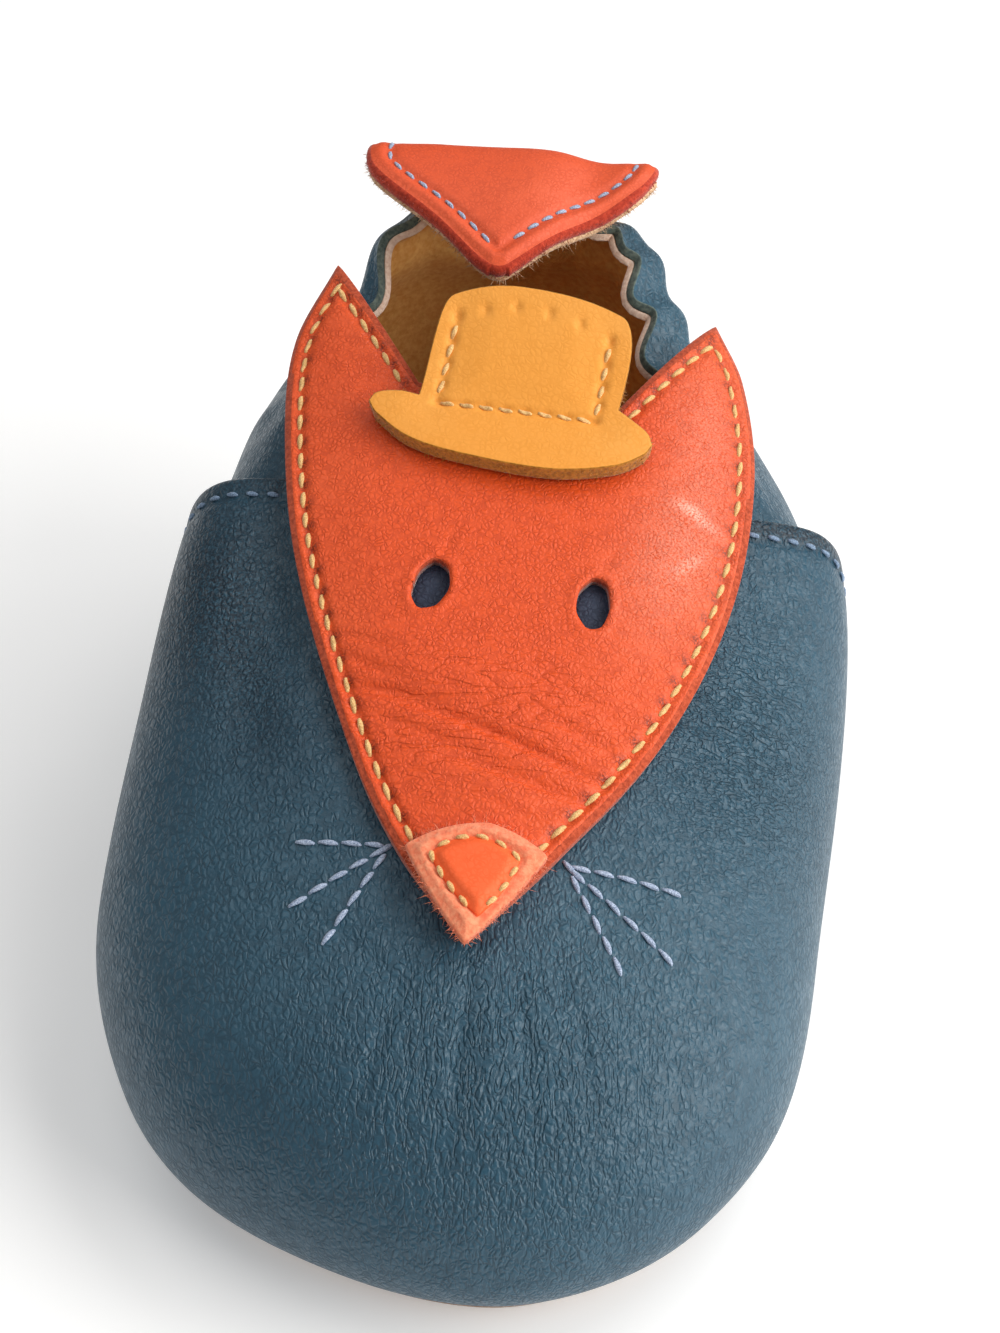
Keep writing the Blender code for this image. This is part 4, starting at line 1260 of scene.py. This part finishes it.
plan, nose_line = kite(NOSE, NOSE_BULGE, NOSE_STEPS)
centre_plan, centre_line = kite(NOSE_CENTRE, CENTRE_BULGE, CENTRE_STEPS)
x, y = plan[..., 0], plan[..., 1]
relief = NOSE_RISE - NOSE_DROP * (1 - ease(0.0, NOSE_ROUND, line_distance(x, y, nose_line)))
relief = relief - NOSE_DIP * bell(line_distance(x, y, centre_line), 0.0, NOSE_DIP_WIDTH)
grid, normal = lay_on(panel_height, x, y, NOSE_TOP + relief)
points = cut_piece(
    "nose_frame", grid, [NOSE_SUEDE] * 3, "nose_suede", ("nose_patch",),
    thickness=NOSE_THICKNESS, edge=0.2, square=0.7, rim_steps=6, normal=normal,
)
fringe("nose_fuzz", points, grid.shape[:2], 6, 500, 0.8, NOSE_SUEDE)
x, y = centre_plan[..., 0], centre_plan[..., 1]
relief = CENTRE_RISE - CENTRE_DROP * (1 - ease(0.0, CENTRE_ROUND, line_distance(x, y, centre_line)))
grid, normal = lay_on(panel_height, x, y, NOSE_TOP + relief)
cut_piece(
    "nose_centre", grid, [NOSE_LEATHER] * 3, "nose_suede", thickness=CENTRE_THICKNESS, edge=0.1, normal=normal
)
ring = even(np.vstack([centre_line, centre_line[:1]]), RING_STEPS)
run, normal = lay_on(panel_height, ring[:, 0], ring[:, 1], NOSE_TOP - NOSE_STITCH_SINK)
sew("nose_stitches", [seam(run, normal, **NOSE_STITCH)], FACE_THREAD)

# %% [markdown]
# ## Hat
# The hat is one thick piece of ochre leather with raw edges: a crown sewn round three sides, leaning back
# from the face, and a brim left free. The same sheet function makes it, with a nearly square rim because the
# cut shows. The brim curls up a little at its front, which gives the shadow under it.

# %% Hat
HAT, HAT_BASE_AT, HAT_TURN = 1.7, 77.4, 0.05
HAT_LEAN, HAT_BEND = 0.52, 1.5
BRIM_CURL, BRIM_START, BRIM_SKEW, BRIM_WIDTH = 0.5, 74.0, 0.1, 6.0
HAT_GROOVE, HAT_GROOVE_WIDTH = 0.2, 0.5
HAT_HOLE_DEPTH, HAT_HOLE_RADIUS = 0.25, 0.45
HAT_PUFF, HAT_PUFF_START, HAT_PUFF_END = 0.2, 0.5, 4.0
HAT_STITCH = {"pitch": 2.0, "reach": 1.75, "radius": 0.22, "slant": 0.15}
HAT_STEPS, HAT_END_STEPS, HAT_SEAM_STEPS = 90, 40, 60
CROWN_FROM, CROWN_TO = 100, 300
FUZZ_FRONT_OF = 78.0

# Outline: place, across, along
HAT_BRIM = (
    ("outer tip", -12.3, 77.2),
    ("outer round", -11.6, 75.6),
    ("outer front", -8.4, 72.4),
    ("middle front", -3.4, 70.4),
    ("inner front", 5.0, 68.8),
    ("inner edge", 11.0, 69.6),
    ("inner round", 13.8, 71.2),
    ("inner tip", 14.6, 72.4),
)
HAT_OUTER_END = ((-11.6, 78.1), (-9.5, 78.2))
HAT_INNER_END = ((14.2, 73.7), (12.8, 75.2))
HAT_CROWN = (
    ("inner base", 11.5, 76.5),
    ("inner side", 12.7, 82.6),
    ("inner top", 11.8, 84.9),
    ("top", 2.0, 87.1),
    ("outer top", -4.4, 86.6),
    ("outer side", -5.7, 85.0),
    ("outer base", -7.6, 77.7),
)

# Stitch lines: place, start and end as across and along
HAT_STITCH_LINES = (
    ("outer side", (-4.1, 85.0), (-6.0, 76.9)),
    ("base", (-6.0, 76.9), (9.3, 75.0)),
    ("inner side", (9.3, 75.0), (10.7, 83.0)),
)
HAT_TOP_DENTS = ((-1.4, 85.3), (1.6, 85.5), (4.8, 85.0), (7.8, 84.2))


def hat_height(x, y):
    """The last, bent up along the brim line into the leaning crown."""
    behind = (y - HAT_BASE_AT + HAT_TURN * x) / HAT_BEND
    return dome(x, y, widest=PANEL_WIDEST) + HAT_LEAN * HAT_BEND * np.log1p(np.exp(behind))


brim_line = smooth_path(plan_points(HAT_BRIM), HAT_STEPS)
crown = smooth_path(plan_points(HAT_CROWN), CURVE_STEPS)
crown_top = even(crown[CROWN_FROM:CROWN_TO], HAT_STEPS)
hat_runs = [even(np.array([start, end]), HAT_SEAM_STEPS) for _, start, end in HAT_STITCH_LINES]
hat_holes = np.vstack([needle_holes(run, HAT_STITCH["pitch"]) for run in hat_runs] + [HAT_TOP_DENTS])
hat_seam_line = np.vstack(hat_runs)


def on_hat(x, y):
    """Points and normals on the hat's outer face: puffed crown, pulled-in seam, curled brim."""
    seam_line = line_distance(x, y, hat_seam_line)
    front = np.maximum(BRIM_START - BRIM_SKEW * x - y, 0.0)
    relief = BRIM_CURL * (front / BRIM_WIDTH) ** 2 - HAT_GROOVE * bell(seam_line, 0.0, HAT_GROOVE_WIDTH)
    relief = relief - HAT_HOLE_DEPTH * dimples(x, y, hat_holes, HAT_HOLE_RADIUS)
    relief = relief + HAT_PUFF * ease(HAT_PUFF_START, HAT_PUFF_END, seam_line)
    return lay_on(hat_height, x, y, NOSE_BASE + HAT + relief)


outer_end = smooth_path([brim_line[0], *HAT_OUTER_END, crown[-1]], HAT_END_STEPS)
inner_end = smooth_path([brim_line[-1], *HAT_INNER_END, crown[0]], HAT_END_STEPS)
outer_edge = even(np.vstack([outer_end[:-1], crown[: CROWN_TO - 2 : -1]]), HAT_STEPS)
inner_edge = even(np.vstack([inner_end[:-1], crown[: CROWN_FROM + 1]]), HAT_STEPS)
plan = fill(brim_line, inner_edge, crown_top[::-1], outer_edge)
grid, normal = on_hat(plan[..., 0], plan[..., 1])
points = cut_piece(
    "hat_leather_cut", grid, [HAT_LEATHER, HAT_EDGE, HAT_EDGE], "hat_leather", ("hat",),
    thickness=HAT, edge=0.1, square=0.45, rim_steps=8, normal=normal,
)
fringe("hat_fuzz", points, grid.shape[:2], 8, 600, 0.6, HAT_EDGE, FUZZ_FRONT_OF)
hat_seams = [seam(*on_hat(run[:, 0], run[:, 1]), **HAT_STITCH) for run in hat_runs]
sew("hat_stitches", hat_seams, FACE_THREAD)

# %% [markdown]
# ## Heel tab
# The tab is sewn low on the heel, goes up its back and folds forward over the collar, ending in a point. It
# is a strip along a path: every row has a half width and a middle, bends round the heel where it stands
# upright and curls at its corners where it lies flat. A pale felt layer under it shows along its edges.

# %% Heel tab
TAB_THICKNESS, FELT, FELT_GAP = 1.7, 0.8, 0.1
TAB_ROWS, TAB_COLUMNS = 150, 80
TAB_WRAP_RADIUS, FLAT_WRAP, TIP_ROUND = 22.0, 0.1, 0.28
UPRIGHT_BELOW, FLAT_ABOVE = 46.0, 56.0
DIP_AT, DIP_WIDTH, CORNER_CURL = 9.0, 3.5, 0.004
TAB_INSET, TAB_GROOVE, TAB_GROOVE_WIDTH = 2.0, 0.35, 0.55
TAB_DROP, TAB_ROUND = 0.35, 1.0
TAB_PUFF, TAB_PUFF_START, TAB_PUFF_END = 0.25, 2.0, 7.0
TAB_FUZZ_FRONT_OF = 107.0

# Rows from the sewn end to the tip: place, along, height, half width, middle across
TAB = (
    ("sewn end", 117.4, 40.0, 5.0, 0.6),
    ("up the heel", 114.6, 47.0, 9.0, 0.7),
    ("behind the fold", 113.4, 53.4, 12.8, 0.9),
    ("top of the fold", 108.8, 58.2, 15.0, 1.1),
    ("in front of the fold", 104.0, 58.3, 13.9, 0.4),
    ("forward", 97.0, 56.8, 6.9, 0.1),
    ("round of the tip", 92.4, 55.2, 2.3, -0.4),
    ("tip", 91.2, 54.8, 0.9, -0.4),
)
tab_path = smooth_path([row[1:] for row in TAB], TAB_ROWS)
tab_arc = arc_length(tab_path[:, :2])
tab_sides = [np.column_stack([tab_path[:, 3] + side * tab_path[:, 2], tab_arc]) for side in (1, -1)]
tab_line = np.vstack([tab_sides[0], tab_sides[1][::-1]])


def tab_points(path, share, depth):
    """Points of the folded tab at shares of its half width, moved inwards by a depth."""
    ahead = unit(np.gradient(path[:, :2], axis=0))
    normal = np.stack([ahead[:, 1], -ahead[:, 0]], axis=1)
    tip = TIP_ROUND * (1 - share**2) * (1 - ease(TAB[-1][3], TAB[-2][3], path[:, 2:3]))
    line = path[:, None, :2] - normal[:, None] * depth + ahead[:, None] * tip[..., None]
    offset = path[:, 2:3] * share
    upright = 1 - ease(UPRIGHT_BELOW, FLAT_ABOVE, path[:, 1:2])
    wrap = -(offset**2) / (2 * TAB_WRAP_RADIUS) * (FLAT_WRAP + (1 - FLAT_WRAP) * upright)
    corners = offset**2 * np.where(offset > 0, -CORNER_CURL, CORNER_CURL)
    curl = (corners - bell(offset, DIP_AT, DIP_WIDTH)) * (1 - upright)
    return np.stack([path[:, 3:4] + offset, line[..., 0] + wrap, line[..., 1] + curl], axis=-1)


def tab_relief(across, run):
    """Edge rounded down and the stitch line pulled in, by the distance from the edge of the tab laid flat."""
    rim = line_distance(across, run, tab_line)
    forward = ease(0.5, 0.6, run / tab_arc[-1])
    groove = TAB_GROOVE * bell(rim, TAB_INSET, TAB_GROOVE_WIDTH) * forward
    puff = TAB_PUFF * ease(TAB_PUFF_START, TAB_PUFF_END, rim)
    return -groove - TAB_DROP * (1 - ease(0.0, TAB_ROUND, rim)) + puff


tab_share = np.linspace(1.0, -1.0, TAB_COLUMNS)[None, :]
tab_grid = tab_points(tab_path, tab_share, 0.0)
tab_normal = grid_normals(tab_grid)
flat_across = tab_path[:, 3:4] + tab_path[:, 2:3] * tab_share
flat_run = np.broadcast_to(tab_arc[:, None], flat_across.shape)
tab_grid = tab_grid + tab_normal * tab_relief(flat_across, flat_run)[..., None]
points = cut_piece(
    "tab_leather_cut", tab_grid, [TAB_LEATHER, TAB_EDGE, TAB_EDGE], "tab_leather", ("heel_tab",),
    thickness=TAB_THICKNESS, edge=0.6, square=0.9, rim_steps=8,
)
fringe("tab_fuzz", points, tab_grid.shape[:2], 8, 500, 0.5, TAB_EDGE, TAB_FUZZ_FRONT_OF)
felt_grid = tab_points(tab_path, tab_share, TAB_THICKNESS + FELT_GAP)
points = cut_piece(
    "tab_felt", felt_grid, [TAB_FELT] * 3, "tab_lining", ("heel_tab_lining",),
    thickness=FELT, edge=0.2, square=0.7, rim_steps=6,
)
fringe("felt_fuzz", points, felt_grid.shape[:2], 6, 500, 0.8, TAB_FELT, TAB_FUZZ_FRONT_OF)

# %% Tab stitches
TAB_STITCH = {"pitch": 1.95, "reach": 1.6, "radius": 0.2}
SEWN_FROM, CLEAR_OF_MIDDLE, END_COLUMNS = 0.52, 0.5, 5

tab_seams = []
for side, edge in zip((1, -1), tab_sides):
    flat = beside(edge, side * TAB_INSET)
    off_middle = (flat[:, 0] - np.interp(flat[:, 1], tab_arc, tab_path[:, 3])) * side
    flat = flat[(off_middle > CLEAR_OF_MIDDLE) & (flat[:, 1] > SEWN_FROM * tab_arc[-1])]
    path = np.stack([np.interp(flat[:, 1], tab_arc, tab_path[:, k]) for k in range(4)], axis=1)
    share = (flat[:, :1] - path[:, 3:4]) / path[:, 2:3]
    nearest = np.rint((1 - share[:, 0]) / 2 * (TAB_COLUMNS - 1)).astype(int)
    normal = tab_normal[np.searchsorted(tab_arc, flat[:, 1]), nearest]
    lift = tab_relief(flat[:, 0], flat[:, 1])
    run = tab_points(path, share, 0.0)[:, 0] + normal * lift[:, None]
    tab_seams.append(seam(run, normal, **TAB_STITCH))
sewn_row = int(np.searchsorted(tab_arc, TAB_INSET))
sewn = slice(END_COLUMNS, -END_COLUMNS)
tab_seams.append(seam(tab_grid[sewn_row, sewn], tab_normal[sewn_row, sewn], **TAB_STITCH))
sew("tab_stitches", tab_seams, BLUE_THREAD)

# %% [markdown]
# ## Throat stitches and whiskers
# A row of stitches holds the folded throat edge. The whiskers are embroidered with the same pale blue thread
# as the tab's seam, three on each side of the nose, each a line of stitches that starts in one common hole.

# %% Throat stitches and whiskers
THROAT_STITCH = {"pitch": 2.2, "reach": 1.5, "radius": 0.22}
OUTER_SHOWN, INNER_SHOWN = -19.5, 23.5
WHISKER_STITCH = {"pitch": 2.1, "reach": 2.2, "radius": 0.23, "taper": 3}
WHISKER_STEPS = 60

# Whiskers: side, start and end as across and along
WHISKERS = (
    ("outer", (-8.6, 31.6), (-17.6, 32.6)),
    ("outer", (-8.6, 31.6), (-17.4, 26.2)),
    ("outer", (-8.6, 31.6), (-14.4, 21.8)),
    ("inner", (6.9, 30.3), (17.6, 29.5)),
    ("inner", (6.9, 30.3), (16.6, 22.6)),
    ("inner", (6.9, 30.3), (12.2, 20.0)),
    ("outer knot", (-10.2, 30.4), (-8.0, 32.2)),
    ("inner knot", (6.2, 31.2), (8.2, 29.2)),
)
along_throat = int(np.argmax(from_throat[:, VAMP_HALF_COLUMNS // 2] < THROAT_INSET))
throat_run, throat_normal = vamp_grid[along_throat], vamp_normal[along_throat]
throat_seams = [
    seam(throat_run[shown], throat_normal[shown], **THROAT_STITCH)
    for shown in (throat_run[:, 0] < OUTER_SHOWN, throat_run[:, 0] > INNER_SHOWN)
]
sew("throat_stitches", throat_seams, DARK_THREAD)


def on_vamp(x, y):
    """Points and normals on the vamp."""
    return lay_on(dome, x, y, crease_field(VAMP_CREASES, x, y))


whisker_runs = [even(np.array([start, end]), WHISKER_STEPS) for _, start, end in WHISKERS]
whisker_seams = [seam(*on_vamp(run[:, 0], run[:, 1]), **WHISKER_STITCH) for run in whisker_runs]
sew("whisker_stitches", whisker_seams, BLUE_THREAD)

# %% [markdown]
# ## Floor, light and camera
# The photograph is taken from above the toe with a pale ground. The light is soft and comes mostly from the
# inner side, in front and behind, as from windows, with a weak fill from above and from the outer front.
# Area lights are used because a large lamp gives the broad soft gloss that leather shows.

# %% Floor and light
FLOOR_HALF, FLOOR_ROUGHNESS, FLOOR_GREY, FLOOR_GLOW = 3, 0.9, 0.9, 0.25
SKY_STRENGTH = 0.2
LAMP_TARGET = (0.0, 0.0, 0.02)
WHITE = (1.0, 1.0, 1.0, 1.0)

# Lamps: name, place in metres, width in metres, power in watts, colour
LAMPS = (
    ("low window", (0.58, -0.2, 0.33), 0.6, 5.2, (1.0, 0.98, 0.95)),
    ("high window", (0.42, 0.3, 0.65), 0.5, 2.6, (1.0, 0.99, 0.97)),
    ("top fill", (-0.25, 0.2, 0.75), 0.5, 1.1, (1.0, 0.99, 0.97)),
    ("front fill", (-0.4, -0.45, 0.6), 0.9, 0.8, (0.97, 0.98, 1.0)),
)

floor_mesh = bpy.data.meshes.new("floor")
floor_corners = [(FLOOR_HALF * x, FLOOR_HALF * y, 0) for x, y in ((-1, -1), (1, -1), (1, 1), (-1, 1))]
floor_mesh.from_pydata(floor_corners, [], [(0, 1, 2, 3)])
floor = bpy.data.objects.new("floor", floor_mesh)
bpy.context.scene.collection.objects.link(floor)
floor_finish, _, floor_shader = new_finish("floor_paper", FLOOR_ROUGHNESS)
floor_shader.inputs["Base Color"].default_value = (FLOOR_GREY, FLOOR_GREY, FLOOR_GREY, 1.0)
floor_shader.inputs["Emission Color"].default_value = WHITE
floor_shader.inputs["Emission Strength"].default_value = FLOOR_GLOW
floor_mesh.materials.append(floor_finish)


def aim(item, place, target, roll=0.0):
    """Puts an object at a place with its -Z axis towards a target, turned about that axis by a roll."""
    back = unit(np.array(place, float) - np.array(target, float))
    right = unit(np.cross((0.0, 0.0, 1.0), back))
    up = np.cross(back, right)
    turned = np.eye(4)
    turned[:3, 0] = right * math.cos(roll) + up * math.sin(roll)
    turned[:3, 1] = up * math.cos(roll) - right * math.sin(roll)
    turned[:3, 2], turned[:3, 3] = back, place
    item.matrix_world = turned.T.tolist()


for name, place, width, power, colour in LAMPS:
    lamp = bpy.data.lights.new(name, "AREA")
    lamp.size, lamp.energy, lamp.color = width, power, colour
    holder = bpy.data.objects.new(name, lamp)
    bpy.context.scene.collection.objects.link(holder)
    aim(holder, place, LAMP_TARGET)

world = bpy.data.worlds.new("studio")
world.use_nodes = True
world.node_tree.nodes["Background"].inputs[0].default_value = WHITE
world.node_tree.nodes["Background"].inputs[1].default_value = SKY_STRENGTH
bpy.context.scene.world = world
bpy.context.scene.view_settings.view_transform = "Standard"
print("lamps:", len(LAMPS))

# %% Camera
IMAGE_WIDTH, IMAGE_HEIGHT = 1000, 1333
FOCAL_PIXELS, TARGET_PIXEL = 2200.0, (486.5, 714.0)
CAMERA_ELEVATION, CAMERA_ROLL, CAMERA_DISTANCE = 41.0, 1.5, 220.0
CAMERA_TARGET = (0.0, 0.0, 22.0)
SENSOR = 36.0

camera = bpy.data.cameras.new("camera")
camera.sensor_width = SENSOR
camera.lens = FOCAL_PIXELS * SENSOR / IMAGE_HEIGHT
camera.shift_x = (IMAGE_WIDTH / 2 - TARGET_PIXEL[0]) / IMAGE_HEIGHT
camera.shift_y = (TARGET_PIXEL[1] - IMAGE_HEIGHT / 2) / IMAGE_HEIGHT
camera.clip_start, camera.clip_end = 0.01, 20.0
eye_point = bpy.data.objects.new("camera", camera)
bpy.context.scene.collection.objects.link(eye_point)
raised = math.radians(CAMERA_ELEVATION)
target = np.array(CAMERA_TARGET) * MM
place = target + np.array([0.0, -math.cos(raised), math.sin(raised)]) * CAMERA_DISTANCE * MM
aim(eye_point, place, target, math.radians(CAMERA_ROLL))
bpy.context.scene.camera = eye_point
print("camera at", place.round(3))
